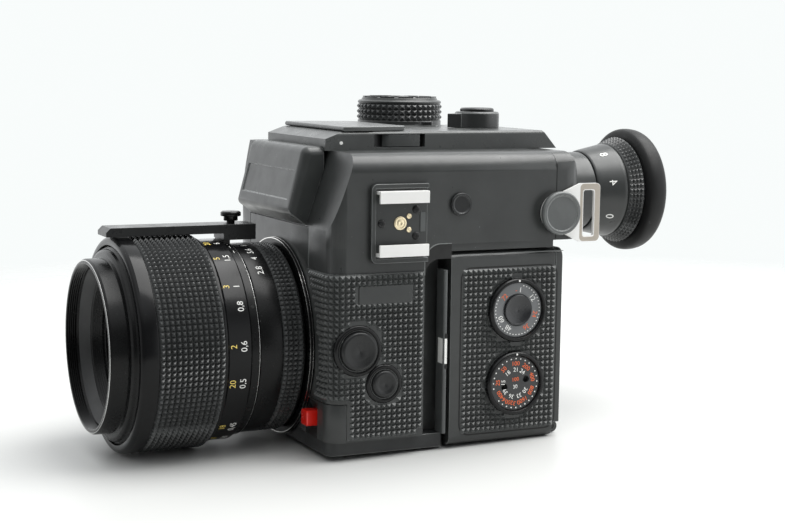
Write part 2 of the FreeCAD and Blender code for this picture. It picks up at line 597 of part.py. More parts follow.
def make_battery():
    """Five button cells' worth of battery holder in the right-hand side."""
    case = box(-53.0, -27.0, -12.6, -3.2, 9.0, 59.0)
    return case.makeFillet(2.0, [e for e in case.Edges if runs_along(e, Z)])


# ---------------------------------------------------------------- lens
def at(distance):
    """Depth on the lens, from the front plate forward, as a y coordinate."""
    return FRONT - distance


def make_mount_ring():
    return turned_y([(FRONT, THROAT_R), (FRONT, MOUNT_R), (at(1.3), MOUNT_R),
                     (at(1.5), MOUNT_R - 0.2), (at(1.5), THROAT_R)])


def make_lens_barrel():
    """Fixed part: bayonet, sleeve that the rings turn on, and the index ring."""
    return turned_y([(FRONT + 1.8, 21.0), (FRONT + 1.8, THROAT_R - 0.2), (at(1.6), THROAT_R - 0.2),
                     (at(1.6), 26.0), (at(17.9), 26.0), (at(17.9), 31.3), (at(20.5), 31.3),
                     (at(20.5), 26.2), (at(44.0), 26.2), (at(44.0), 24.0), (at(2.0), 24.0),
                     (at(2.0), 21.0)])


def make_aperture_ring():
    return turned_y([(at(17.6), 26.0 + CLEAR), (at(17.6), 30.5), (at(17.3), 30.8), (at(10.0), 30.8),
                     (at(9.6), 30.4), (at(3.0), 30.4), (at(2.0), 29.4), (at(2.0), 26.0 + CLEAR)])


def make_focus_ring():
    return turned_y([(at(20.8), 31.2), (at(20.8), 32.5), (at(28.5), 32.5), (at(28.8), 33.4),
                     (at(29.8), 34.0), (at(50.5), 34.0), (at(50.8), 34.3), (at(55.2), 34.3),
                     (at(56.2), 33.7), (at(56.4), 32.9), (at(56.4), 31.5), (at(28.0), 31.5),
                     (at(27.6), 31.2)])


FILTER_R = 25.6                # inside of the 52 mm filter thread


def make_inner_barrel():
    """Moves straight in and out: outer sleeve, front rim and the glass cell."""
    sleeve = turned_y([(at(36.6), 26.2 + CLEAR), (at(36.6), 31.4), (at(56.0), 31.2), (at(56.6), 30.0),
                       (at(58.2), 29.2), (at(58.2), 27.6), (at(64.1), 27.6),
                       (at(64.1), FILTER_R), (at(60.4), FILTER_R), (at(53.6), 19.4), (at(53.6), 18.2),
                       (at(50.0), 18.2), (at(50.0), 20.2), (at(52.6), 20.2), (at(55.4), 24.0),
                       (at(55.4), 26.2 + CLEAR)])
    cell = turned_y([(at(52.6), 18.2), (at(52.6), 20.2), (at(12.0), 20.2), (at(12.0), 14.0),
                     (at(13.0), 14.0), (at(13.0), 18.2)])
    return sleeve.fuse(cell)


def make_glass():
    front = turned_y([(at(51.6), 0), (at(50.6), 8.0), (at(47.4), 18.1), (at(44.0), 18.1),
                      (at(44.6), 8.0), (at(45.0), 0)])
    rear = turned_y([(at(20.0), 0), (at(19.0), 10.0), (at(17.6), 18.1), (at(14.4), 18.1),
                     (at(13.4), 10.0), (at(12.6), 0)])
    return front, rear


IRIS_BLADES, IRIS_HOLE_R = 6, 7.0


def make_iris():
    """Six lapped blades round a six-sided hole, carried by their driving ring."""
    ring = turned_y([(at(33.4), 16.2), (at(33.4), 18.1), (at(31.6), 18.1), (at(31.6), 16.2)])
    disc = turned_y([(at(32.8), 0.0), (at(32.8), 16.4), (at(32.2), 16.4), (at(32.2), 0.0)])
    corners = [(IRIS_HOLE_R * math.cos(i * math.tau / IRIS_BLADES),
                AXIS_Z + IRIS_HOLE_R * math.sin(i * math.tau / IRIS_BLADES))
               for i in range(IRIS_BLADES)]
    return disc.cut(prism_y(corners, at(34), at(31))).fuse(ring)


BAR_HALF = 5.0
KNOB_AT = 16.4                 # how far in front of the plate the bar's knob stands


def make_lens_bar():
    """Bridge over the rings, standing on the index ring, with a bored boss for its knob."""
    outline = [(at(9.6), 64.2), (at(9.6), 69.2), (at(57.4), 69.2), (at(58.8), 67.8),
               (at(58.8), 66.4), (at(20.4), 66.4), (at(20.4), 64.2)]
    bar = prism_x(outline, -BAR_HALF, BAR_HALF)
    foot = box(-4.0, 4.0, at(20.4), at(18.0), 62.6, 66.8).cut(
        cyl_y(at(21), at(17), 0, AXIS_Z, 31.3))
    return bar.fuse(foot).cut(cyl_z(60, 80, 0, at(KNOB_AT), 1.3 + CLEAR))


def make_lens_knob():
    y = at(KNOB_AT)
    head = turned_z([(70.0, 0), (70.0, 2.3), (71.5, 2.3), (71.5, 3.3), (72.7, 3.3),
                     (73.1, 2.7), (73.2, 0)], 0, y)
    return head.fuse(cyl_z(66.0, 70.1, 0, y, 1.3))


def make_lens_release():
    """Red button beside the mount."""
    body = box(RED_X - RED_HALF, RED_X + RED_HALF, FRONT - 3.2, FRONT + 4.5,
               RED_Z - RED_HALF, RED_Z + RED_HALF)
    return body.makeFillet(0.8, [e for e in body.Edges if runs_along(e, Y)])


# ---------------------------------------------------------------- magazine
def make_magazine_shell():
    y1 = MAG_BACK - DOOR_T - 0.2
    outer = box(RIGHT, LEFT, MAG_FRONT, y1, 0.3, MAG_TOP)
    outer = outer.makeFillet(3.0, [e for e in outer.Edges if runs_along(e, Y)])
    hollow = box(RIGHT + 2.4, LEFT - 2.4, MAG_FRONT + 2.4, y1 + 1, 2.7, MAG_TOP - 2.4)
    shell = outer.cut(hollow)
    shell = shell.cut(box(-GATE_W / 2, GATE_W / 2, 0, MAG_FRONT + 3,
                          AXIS_Z - GATE_H / 2, AXIS_Z + GATE_H / 2))
    for y, z in (COUNTER, SPEED):
        rim = turned_x([(LEFT - 3.4, 0), (LEFT - 3.4, 10.3), (LEFT + 1.6, 10.3), (LEFT + 2.0, 9.8),
                        (LEFT + 2.0, 9.2), (LEFT + 1.4, DIAL_FACE_R + CLEAR),
                        (LEFT + 1.4, 0)], y, z)
        shell = shell.fuse(rim)
        shell = shell.cut(cyl_x(LEFT - 1.6, LEFT + 3, y, z, DIAL_FACE_R + CLEAR))
        shell = shell.cut(cyl_x(LEFT - 5, LEFT + 3, y, z, 2.1))
    return shell.removeSplitter()


def magazine_dial(y, z, top):
    return turned_x([(LEFT - 4.2, 0), (LEFT - 4.2, 2.0), (LEFT - 1.5, 2.0), (LEFT - 1.5, DIAL_FACE_R),
                     (top, DIAL_FACE_R), (top, 0)], y, z)


def make_counter_dial():
    dial = magazine_dial(*COUNTER, LEFT + 1.0)
    return dial.cut(cyl_x(LEFT + 0.6, LEFT + 2, *COUNTER, 5.2))


def make_speed_dial():
    dial = magazine_dial(*SPEED, LEFT + 1.2)
    for angle in (15, 195):
        a = math.radians(angle)
        dial = dial.cut(cyl_x(LEFT - 0.6, LEFT + 2, SPEED[0] + 4.1 * math.cos(a),
                              SPEED[1] + 4.1 * math.sin(a), 1.1))
    return dial


HINGE_Y, HINGE_Z = MAG_BACK - 0.2, 2.5     # door hinge, along the bottom edge
KNUCKLE_R, KNUCKLES = 2.0, 7
KNUCKLE_STEP = (LEFT - RIGHT - 8.0) / KNUCKLES


def knuckle_spans(first):
    """Ends of every second knuckle along X, with a running gap."""
    x0 = RIGHT + 4.0
    return [(x0 + i * KNUCKLE_STEP + 0.15, x0 + (i + 1) * KNUCKLE_STEP - 0.15)
            for i in range(first, KNUCKLES, 2)]


def make_door():
    y0 = MAG_BACK - DOOR_T
    door = box(RIGHT, LEFT, y0, MAG_BACK, HINGE_Z + 2.4, MAG_TOP)
    door = door.makeFillet(3.0, [e for e in door.Edges if runs_along(e, Y)
                                 and e.BoundBox.ZMin > 50])
    lip = box(RIGHT + 2.7, LEFT - 2.7, y0 - 1.6, y0, HINGE_Z + 4.0, MAG_TOP - 2.7)
    lip = lip.cut(box(RIGHT + 3.9, LEFT - 3.9, y0 - 2, y0, HINGE_Z + 5.2, MAG_TOP - 3.9))
    door = door.fuse(lip)
    for x0, x1 in knuckle_spans(1):
        door = door.fuse(cyl_x(x0, x1, HINGE_Y, HINGE_Z, KNUCKLE_R))
        door = door.fuse(box(x0, x1, HINGE_Y - 1.4, HINGE_Y + 0.2, HINGE_Z, HINGE_Z + 2.6))
    return door.cut(cyl_x(RIGHT, LEFT, HINGE_Y, HINGE_Z, 1.0 + CLEAR / 2)).removeSplitter()


def make_door_hinge():
    """The magazine's own knuckles, on a lug each behind the bottom edge."""
    parts = []
    for x0, x1 in knuckle_spans(0):
        lug = box(x0, x1, MAG_BACK - DOOR_T - 0.4, HINGE_Y, HINGE_Z - 1.9, HINGE_Z + 1.4)
        lug = lug.fuse(cyl_x(x0, x1, HINGE_Y, HINGE_Z, KNUCKLE_R))
        parts.append(lug.cut(cyl_x(x0 - 1, x1 + 1, HINGE_Y, HINGE_Z, 1.0 + CLEAR / 2)))
    return parts


def make_hinge_pin():
    ends = knuckle_spans(0)
    return cyl_x(ends[0][0], ends[-1][1], HINGE_Y, HINGE_Z, 1.0)


HANDLE_IN = 40.4


def make_dark_slide():
    """Thin blade over the film gate with its pull bar on the left."""
    bar = box(HANDLE_IN, LEFT + 0.9, -1.1, 0.3, 4.8, 56.9)
    bar = bar.makeFillet(0.6, [e for e in bar.Edges if runs_along(e, Z)])
    foot = box(HANDLE_IN, HANDLE_IN + 2.0, -0.4, 1.45, 10.0, 52.0)
    blade = box(-22.0, HANDLE_IN + 0.5, 0.95, 1.45, AXIS_Z - 14.5, AXIS_Z + 14.5)
    return bar.fuse(foot).fuse(blade)


SPOOL = (27.0, 20.5, 9.0)


def make_takeup_spool():
    x, y, r = SPOOL
    return turned_z([(5.0, 0), (5.0, 3.0), (8.0, 3.0), (8.0, r + 2.2), (9.2, r + 2.2), (9.2, r),
                     (51.8, r), (51.8, r + 2.2), (53.0, r + 2.2), (53.0, 3.0), (57.0, 3.0),
                     (57.0, 0)], x, y)


def make_pressure_plate():
    """Film pressure plate, standing off the front wall on two rails."""
    back = MAG_FRONT + 2.4
    plate = box(-26.0, 5.0, back + 1.2, back + 2.4, AXIS_Z - 17.5, AXIS_Z + 17.5)
    for z in (AXIS_Z - 17.5, AXIS_Z + 15.9):
        plate = plate.fuse(box(-26.0, 5.0, back, back + 1.2, z, z + 1.6))
    return plate


# ---------------------------------------------------------------- files
lower, upper = split_housing(make_housing())
export("main_housing", lower)
rail = magazine_rail()
export("finder_housing", upper.multiFuse([rail, mirrored(rail, (LEFT + RIGHT) / 2)]))
export("front_plate", make_front_plate())
export("base_plinth", make_plinth())
export("tripod_bush", make_tripod_bush())
export("finder_front_cover", make_nose())
export("top_plate", make_top_plate())
export("rear_finder_cover", make_finder_block())
export("eyepiece_tube", make_eyepiece_tube())
export("left_grip_cover", make_left_grip())
export("right_grip_cover", make_right_grip())
export("shoe_base", make_shoe_base())
export("shoe_rails", *make_shoe_rails())
export("shoe_contacts", *make_shoe_contacts(), *make_shoe_screws())
stud = make_strap_stud()
MIDDLE = (LEFT + RIGHT) / 2
export("strap_studs", stud, mirrored(stud, MIDDLE))
export("lens_mount_ring", make_mount_ring())
export("mirror_box", make_mirror_box())
export("focusing_screen", make_screen())
export("finder_prism", make_prism())
export("shutter_frame", make_shutter_frame())
export("battery_holder", make_battery())
export("wind_motor", make_motor())

export("reflex_mirror", make_mirror())
export("first_curtain", curtain(-3.6, CURTAIN_Z0))
export("second_curtain", curtain(-4.8, CURTAIN_Z0 + CURTAIN_STEP))
export("motor_pinion", make_pinion())
export("drive_gear", make_drive_gear())
bracket = make_strap_bracket()
export("left_strap_bracket", bracket)
export("right_strap_bracket", mirrored(bracket, MIDDLE))
export("shutter_speed_dial", make_shutter_dial())
export("dial_lock_button", make_lock_button())
export("release_collar", make_release_collar())
export("top_release_button", make_top_release())
export("front_release_button", side_button(*LEFT_BUTTONS[0], 0.5))
export("preview_button", side_button(*LEFT_BUTTONS[1], -0.7))
export("lens_release_button", make_lens_release())
export("sync_socket_cap", make_sync_cap())
export("finder_lid", make_lid())
export("lid_latch", make_latch())
leaf = make_left_leaf()
export("left_hood_leaf", leaf)
export("right_hood_leaf", mirrored(leaf))
export("rear_hood_leaf", make_rear_leaf())
export("dioptre_ring", make_dioptre_ring())
export("rubber_eyecup", make_eyecup())
export("eyepiece_lens", make_eye_lens())

export("lens_barrel", make_lens_barrel())
export("aperture_ring", make_aperture_ring())
export("focus_ring", make_focus_ring())
export("inner_barrel", make_inner_barrel())
export("lens_elements", *make_glass())
export("iris_blades", make_iris())
export("lens_bar", make_lens_bar())
export("lens_bar_knob", make_lens_knob())

magazine = make_magazine_shell().fuse(make_pressure_plate())
export("magazine_shell", magazine.multiFuse(make_door_hinge()))
export("magazine_door", make_door())
export("door_hinge_pin", make_hinge_pin())
export("frame_counter_dial", make_counter_dial())
export("film_speed_dial", make_speed_dial())
export("dark_slide", make_dark_slide())
export("take_up_spool", make_takeup_spool())
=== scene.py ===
import json
import math

import bmesh
import bpy
from mathutils import Matrix, Vector


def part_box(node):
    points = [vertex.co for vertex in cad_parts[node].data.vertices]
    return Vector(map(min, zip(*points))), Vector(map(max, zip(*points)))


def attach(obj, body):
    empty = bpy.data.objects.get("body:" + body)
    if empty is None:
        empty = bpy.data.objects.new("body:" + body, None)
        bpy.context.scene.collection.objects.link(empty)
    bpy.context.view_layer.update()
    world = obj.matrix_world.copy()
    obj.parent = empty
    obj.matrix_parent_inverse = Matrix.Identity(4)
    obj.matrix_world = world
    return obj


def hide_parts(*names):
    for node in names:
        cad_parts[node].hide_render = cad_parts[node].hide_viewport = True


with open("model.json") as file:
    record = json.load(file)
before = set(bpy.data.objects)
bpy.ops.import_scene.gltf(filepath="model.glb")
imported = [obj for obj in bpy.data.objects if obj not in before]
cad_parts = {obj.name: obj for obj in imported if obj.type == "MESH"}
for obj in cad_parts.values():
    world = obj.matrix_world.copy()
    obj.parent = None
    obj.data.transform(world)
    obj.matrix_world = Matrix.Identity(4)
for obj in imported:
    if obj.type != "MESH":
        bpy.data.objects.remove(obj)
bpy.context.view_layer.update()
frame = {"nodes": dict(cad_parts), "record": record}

MM = 0.001
NODES = frame["nodes"]
BODY_OF = {n: b for b, nodes in frame["record"]["behaviour"]["bodies"].items() for n in nodes}
SLOT_OF = {s["node"]: s["material_slot"] for s in frame["record"]["subparts"]}


def low(node):
    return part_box(node)[0] / MM


def high(node):
    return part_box(node)[1] / MM


def middle(node):
    return (low(node) + high(node)) / 2


# -------- places in mm, from the frame
AXIS_Z = middle("lens_mount_ring").z      # lens axis height
FRONT_Y = high("lens_mount_ring").y       # front plate
LEFT_X = high("magazine_door").x          # left side wall
RIGHT_X = low("magazine_door").x
EYE_Z = middle("dioptre_ring").z          # eyepiece axis height


def ahead(distance):
    """y of a place that far in front of the front plate."""
    return FRONT_Y - distance


def forward(profile):
    """The outline with each distance counted forward from the front plate."""
    return [(ahead(d), r) for d, r in profile]


# -------- materials
class Nodes:
    """Short ways to add shader nodes to one tree."""

    def __init__(self, tree):
        self.tree = tree

    def add(self, kind, **inputs):
        node = self.tree.nodes.new(kind)
        for key, value in inputs.items():
            self.feed(node, key.replace("_", " "), value)
        return node

    def feed(self, node, key, value):
        if isinstance(value, bpy.types.NodeSocket):
            self.tree.links.new(value, node.inputs[key])
        else:
            node.inputs[key].default_value = value

    def remap(self, value, a, b, c, d):
        """The value's range a to b carried over to c to d."""
        node = self.add("ShaderNodeMapRange", Value=value, From_Min=a, From_Max=b, To_Min=c, To_Max=d)
        return node.outputs["Result"]


class Skin(Nodes):
    """The nodes of one new material."""

    def __init__(self, name):
        self.material = bpy.data.materials.new(name)
        self.material.use_nodes = True
        super().__init__(self.material.node_tree)
        self.shader = self.tree.nodes["Principled BSDF"]
        self.place = self.add("ShaderNodeTexCoord").outputs["Object"]

    def set(self, **inputs):
        for key, value in inputs.items():
            self.feed(self.shader, key.replace("_", " "), value)

    def noise(self, size, detail=2.0, rough=0.5):
        """Noise with lumps about size millimetres across."""
        return self.add("ShaderNodeTexNoise", Vector=self.place, Scale=1.0 / (size * MM), Detail=detail,
                        Roughness=rough).outputs["Factor" if bpy.app.version >= (5, 0) else "Fac"]

    def mix(self, factor, a, b):
        node = self.add("ShaderNodeMix")
        node.data_type = "RGBA"
        self.feed(node, 0, factor)
        self.feed(node, 6, a)
        self.feed(node, 7, b)
        return node.outputs[2]

    def bump(self, height, depth, strength=1.0):
        """Normals for a relief depth millimetres deep."""
        return self.add("ShaderNodeBump", Height=height, Strength=strength,
                        Distance=depth * MM).outputs["Normal"]


def new_object(name, data):
    obj = bpy.data.objects.new(name, data)
    bpy.context.scene.collection.objects.link(obj)
    return obj


def shade(colour, factor):
    return tuple(min(1.0, c * factor) for c in colour) + (1.0,)


def finish(name, colour, rough, metallic=0.0, grain=0.35, relief=0.02, mottle=0.18, wear_and_highlight=0.0,
           coat=0.0, spec=0.5, gloss_drift=0.07, dust=0.0):
    """Painted, moulded or metal skin: fine grain, uneven gloss and colour, some specks of dust. Pointiness
    makes the edges paler, partly as worn paint and partly as a painted highlight on edges and pyramid tips;
    this suits only pieces made of small faces."""
    n = Skin(name)
    broad = n.noise(14.0, 4.0, 0.62)
    fine = n.noise(grain, 2.0, 0.6)
    base = n.mix(n.remap(broad, 0.3, 0.7, 0, 1), shade(colour, 1 - mottle), shade(colour, 1 + mottle))
    # paler convex edges and tips: partly worn paint, partly a painted highlight
    if wear_and_highlight:
        edge = n.add("ShaderNodeNewGeometry").outputs["Pointiness"]
        rubbed_and_lit = n.remap(edge, 0.53, 0.62, 0.0, wear_and_highlight)
        base = n.mix(rubbed_and_lit, base, shade(colour, 1.0 + 1.6 * (1 - metallic)))
    if dust:
        speck = n.remap(n.noise(0.55, 1.0, 0.4), 0.80, 0.84, 0.0, dust)
        base = n.mix(speck, base, (0.35, 0.36, 0.36, 1.0))
    drift = n.remap(n.noise(5.0, 3.0, 0.6), 0.25, 0.75, rough - gloss_drift, rough + gloss_drift)
    n.set(Base_Color=base, Metallic=metallic, Specular_IOR_Level=spec, Roughness=drift,
          Coat_Weight=coat, Coat_Roughness=0.1)
    if relief:
        n.set(Normal=n.bump(fine, relief))
    return n.material


def glass(name, tint, coat_tint):
    """Coated optical glass: nearly clear, with a coloured sheen and a trace of dust."""
    n = Skin(name)
    haze = n.remap(n.noise(3.0, 4.0, 0.6), 0.45, 0.75, 0.01, 0.05)
    n.set(Base_Color=n.mix(n.noise(9.0), shade(tint, 0.9), shade(tint, 1.0)), Roughness=haze,
          Transmission_Weight=0.85, IOR=1.52, Coat_Weight=0.6, Coat_Roughness=0.02,
          Coat_Tint=coat_tint + (1.0,), Normal=n.bump(n.noise(0.3), 0.001))
    return n.material


MATERIALS = {
    "housing": finish("housing_paint", (0.034, 0.0362, 0.0357), 0.33, grain=0.22, relief=0.014,
                      dust=0.5),
    "cover": finish("cover_satin", (0.034, 0.0365, 0.036), 0.33, grain=0.25, relief=0.009, dust=0.5),
    # the grip's pyramid tips are paler: partly worn paint, partly a painted highlight
    "grip": finish("grip_moulding", (0.029, 0.031, 0.0306), 0.34, grain=0.3, relief=0.006, wear_and_highlight=1.3,
                   dust=0.5),
    "plinth": finish("plinth_moulding", (0.024, 0.0255, 0.026), 0.5, grain=0.25, relief=0.014),
    "steel": finish("polished_steel", (0.87, 0.865, 0.85), 0.3, metallic=0.12, relief=0.0, mottle=0.025,
                    gloss_drift=0.03),
    "brass": finish("contact_brass", (0.86, 0.74, 0.50), 0.28, metallic=0.6, relief=0.003, mottle=0.1),
    "mount": finish("mount_chrome", (0.82, 0.81, 0.79), 0.2, metallic=1.0, relief=0.002, mottle=0.04),
    "lens_black": finish("anodised_black", (0.005, 0.0052, 0.0054), 0.26, grain=0.15, relief=0.003,
                         gloss_drift=0.05, spec=0.2, dust=0.4),
    "lens_gloss": finish("lacquer_black", (0.0045, 0.0046, 0.005), 0.18, grain=0.4, relief=0.002,
                         gloss_drift=0.04, spec=0.2, dust=0.4),
    "rubber": finish("rubber_black", (0.011, 0.0112, 0.0115), 0.5, grain=0.3, relief=0.02,
                     spec=0.25, dust=0.5),
    "glass": glass("coated_glass", (0.93, 0.96, 0.95), (0.75, 0.6, 0.95)),
    "mirror": finish("front_silvered", (0.86, 0.87, 0.88), 0.05, metallic=1.0, relief=0.0, mottle=0.02,
                     gloss_drift=0.02),
    "shutter": finish("shutter_blades", (0.05, 0.05, 0.053), 0.4, metallic=0.4, relief=0.002),
    "inside_black": finish("flat_black", (0.012, 0.012, 0.012), 0.75, grain=0.4, relief=0.02),
    "motor": finish("motor_can", (0.5, 0.5, 0.5), 0.35, metallic=1.0, relief=0.003),
    "gear": finish("white_nylon", (0.72, 0.71, 0.66), 0.45, relief=0.004, mottle=0.05),
    "red": finish("red_moulding", (0.82, 0.02, 0.012), 0.24, relief=0.004, mottle=0.12, coat=0.5),
    "dial_grey": finish("grey_dial_face", (0.15, 0.155, 0.16), 0.42, grain=0.12, relief=0.003),
    "dial_dark": finish("dark_dial_face", (0.032, 0.033, 0.034), 0.45, grain=0.12, relief=0.003),
}
# the knurls' pyramid tips are paler: partly worn paint, partly a painted highlight
KNURL = finish("knurl_black", (0.027, 0.0282, 0.0285), 0.27, grain=0.2, relief=0.003, wear_and_highlight=1.6, dust=0.5)
STUD = finish("stud_satin", (0.095, 0.1, 0.1), 0.34, relief=0.004, dust=0.3)
# lighter copy of the cover paint: painted light on the top plate, lid and latch, which face the overhead lamp
LIT_COVER_COPY = finish("cover_paint_lit_copy", (0.06, 0.0635, 0.0625), 0.3, grain=0.25, relief=0.008, dust=0.5)
BUTTON = finish("button_satin", (0.014, 0.0147, 0.0151), 0.3, relief=0.003, spec=0.35, dust=0.5)
BEZEL = finish("bezel_black", (0.006, 0.0062, 0.0065), 0.22, relief=0.002, spec=0.28, dust=0.5)
HANDLE = finish("handle_grey", (0.075, 0.08, 0.08), 0.36, grain=0.25, relief=0.004)
# paler colours for rounded edges and thin strips: painted highlights
EDGE_HIGHLIGHTS = {name: finish(name + "_edge", colour, rough, relief=0.003, dust=0.3)
         for name, colour, rough in (("dark", (0.17, 0.178, 0.176), 0.26),
                                     ("black", (0.05, 0.052, 0.053), 0.24),
                                     ("pale", (0.6, 0.6, 0.585), 0.28))}
# the loop's edges are paler: partly worn metal, partly a painted highlight
LOOP = finish("loop_steel", (0.36, 0.325, 0.28), 0.36, metallic=0.5, relief=0.004, mottle=0.12, wear_and_highlight=0.3)
WHITE_INK = finish("white_ink", (0.9, 0.9, 0.87), 0.5, relief=0.003, mottle=0.08)
ORANGE_INK = finish("orange_ink", (0.88, 0.15, 0.035), 0.5, relief=0.003, mottle=0.1)
YELLOW_INK = finish("yellow_ink", (0.86, 0.66, 0.16), 0.5, relief=0.003, mottle=0.1)
LINE_BLACK = finish("groove_black", (0.004, 0.004, 0.004), 0.7, relief=0.004)
INNER_BAND = finish("inner_band", (0.03, 0.0308, 0.0315), 0.45, grain=0.2, relief=0.004)
WINDOW = finish("dial_window", (0.02, 0.021, 0.023), 0.26, relief=0.001)
BARE_EDGE = finish("bare_edge", (0.60, 0.60, 0.59), 0.28, metallic=1.0, relief=0.003, mottle=0.15)


# -------- making pieces
SAME_PLANE = 0.99998                  # cosine between faces of one flat area
SMOOTH_TOGETHER = 0.45                # cosine between faces that shade as one curve
CLEARLY_LARGER = 5                    # times the next area
SHARP_EDGE = math.radians(38.0)       # the bevel rounds sharper edges than this
SHARP_SHADING = math.radians(32.0)    # shading breaks at sharper edges than this


def flats_first(mesh):
    """Custom normals: a flat area keeps its own normal up to its edge, and curves run into it."""
    shape = bmesh.new()
    shape.from_mesh(mesh)
    shape.faces.ensure_lookup_table()
    group, areas = {}, []
    for seed in shape.faces:
        if seed.index in group:
            continue
        stack, area = [seed], 0.0
        group[seed.index] = len(areas)
        while stack:
            face = stack.pop()
            area += face.calc_area()
            for edge in face.edges:
                for other in edge.link_faces:
                    if other.index not in group and other.normal.dot(seed.normal) > SAME_PLANE:
                        group[other.index] = len(areas)
                        stack.append(other)
        areas.append(area)
    normals = []
    for face in shape.faces:
        for loop in face.loops:
            near = [f for f in loop.vert.link_faces if f.normal.dot(face.normal) > SMOOTH_TOGETHER]
            ranked = sorted({group[f.index] for f in near}, key=lambda g: -areas[g])
            if len(ranked) > 1 and areas[ranked[0]] < CLEARLY_LARGER * areas[ranked[1]]:
                chosen = near
            else:
                chosen = [f for f in near if group[f.index] == ranked[0]]
            total = Vector((0, 0, 0))
            for other in chosen:
                corner = next(c for c in other.loops if c.vert == loop.vert)
                total += other.normal * corner.calc_angle()
            normals.append(total.normalized() if total.length else face.normal)
    shape.free()
    mesh.shade_smooth()
    mesh.normals_split_custom_set([tuple(n) for n in normals])


def soft_corners(obj, width, edge=None):
    """Small rounded edges that catch the light, on flats that stay flat. The edges may have their own paler
    material, a painted highlight."""
    bevel = obj.modifiers.new("edges", "BEVEL")
    if edge is not None:
        obj.data.materials.append(edge)
        bevel.material = 1
    bevel.width = width * MM
    bevel.segments = 2
    bevel.limit_method = "ANGLE"
    bevel.angle_limit = SHARP_EDGE
    weighted = obj.modifiers.new("shading", "WEIGHTED_NORMAL")
    weighted.weight = 80


def piece(name, parts, material, body, standing_for=(), round_by=None):
    """One object in millimetres from (vertices, faces) lists, riding on its CAD body."""
    verts, faces = [], []
    for some_verts, some_faces in parts:
        start = len(verts)
        verts += some_verts
        faces += [[i + start for i in f] for f in some_faces]
    mesh = bpy.data.meshes.new(name)
    mesh.from_pydata([[c * MM for c in v] for v in verts], [], faces)
    shape = bmesh.new()
    shape.from_mesh(mesh)
    bmesh.ops.remove_doubles(shape, verts=shape.verts, dist=1e-7)
    bmesh.ops.recalc_face_normals(shape, faces=shape.faces)
    shape.to_mesh(mesh)
    shape.free()
    mesh.shade_smooth()
    if round_by is None:
        mesh.set_sharp_from_angle(angle=SHARP_SHADING)
    mesh.materials.append(material)
    obj = new_object(name, mesh)
    if round_by is not None:
        soft_corners(obj, round_by)
    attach(obj, body)
    if standing_for:
        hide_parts(*standing_for)
    return obj


def about_y(x, z):
    """Point at (distance along Y, radius, angle) round the line through x, z. Angle 0 is +X."""
    return lambda d, r, t: (x + r * math.cos(t), d, z + r * math.sin(t))


def about_x(y, z):
    return lambda d, r, t: (d, y + r * math.cos(t), z + r * math.sin(t))


def about_z(x, y):
    return lambda d, r, t: (x + r * math.cos(t), y + r * math.sin(t), d)


LENS = about_y(0.0, AXIS_Z)
EYE = about_y(0.0, EYE_Z)


def rounded(profile, size):
    """The closed outline with every corner eased by up to size."""
    out = []
    count = len(profile)
    for i, corner in enumerate(profile):
        here = Vector(corner)
        before = Vector(profile[i - 1]) - here
        after = Vector(profile[(i + 1) % count]) - here
        a = here + before * min(0.42, size / max(before.length, 1e-6))
        b = here + after * min(0.42, size / max(after.length, 1e-6))
        out += [a, a * 0.25 + here * 0.5 + b * 0.25, b]
    return [(p.x, p.y) for p in out]


ON_AXIS = 1e-6    # a radius this small is a point on the axis


def lathe(around, profile, ease=0.12, segments=160):
    """Turned solid from a closed (distance, radius) outline."""
    if ease:
        profile = rounded(profile, ease)
    count = len(profile)
    verts = [around(d, max(r, 0.0), j * math.tau / segments) for d, r in profile for j in range(segments)]
    faces = []
    for i in range(count):
        k = (i + 1) % count
        if profile[i][1] <= ON_AXIS and profile[k][1] <= ON_AXIS:
            continue
        for j in range(segments):
            m = (j + 1) % segments
            ring = [i * segments + j, i * segments + m, k * segments + m, k * segments + j]
            if profile[i][1] <= ON_AXIS:
                ring = [i * segments, k * segments + m, k * segments + j]
            elif profile[k][1] <= ON_AXIS:
                ring = [i * segments + j, i * segments + m, k * segments]
            faces.append(ring)
    return verts, faces


def pyramids(place, us, vs, height, tip=0.14, keep=lambda u, v: True, sink=0.12):
    """Closed four-sided pyramids with tiny flat tips, one on each cell of the grid us x vs."""
    verts, faces = [], []
    for u0, u1 in zip(us, us[1:]):
        for v0, v1 in zip(vs, vs[1:]):
            um, vm = (u0 + u1) / 2, (v0 + v1) / 2
            if not keep(um, vm):
                continue
            hu, hv = (u1 - u0) / 2 * tip, (v1 - v0) / 2 * tip
            k = len(verts)
            verts += [place(u, v, -sink) for u, v in ((u0, v0), (u1, v0), (u1, v1), (u0, v1))]
            verts += [place(u, v, 0.0) for u, v in ((u0, v0), (u1, v0), (u1, v1), (u0, v1))]
            verts += [place(um + a * hu, vm + b * hv, height)
                      for a, b in ((-1, -1), (1, -1), (1, 1), (-1, 1))]
            faces += [[k, k + 1, k + 2, k + 3], [k + 8, k + 9, k + 10, k + 11]]
            for i in range(4):
                j = (i + 1) % 4
                faces.append([k + i, k + j, k + 4 + j, k + 4 + i])
                faces.append([k + 4 + i, k + 4 + j, k + 8 + j, k + 8 + i])
    return verts, faces


def steps(a, b, count):
    return [a + (b - a) * i / count for i in range(count + 1)]


def knurl(around, radius, d0, d1, rows, columns, height, tip=0.14):
    """Pyramids round a cylinder, or a cone where radius is a function of the distance."""
    r_at = radius if callable(radius) else (lambda d: radius)
    return pyramids(lambda u, v, w: around(u, r_at(u) + w, v), steps(d0, d1, rows),
                    steps(0.0, math.tau, columns), height, tip)


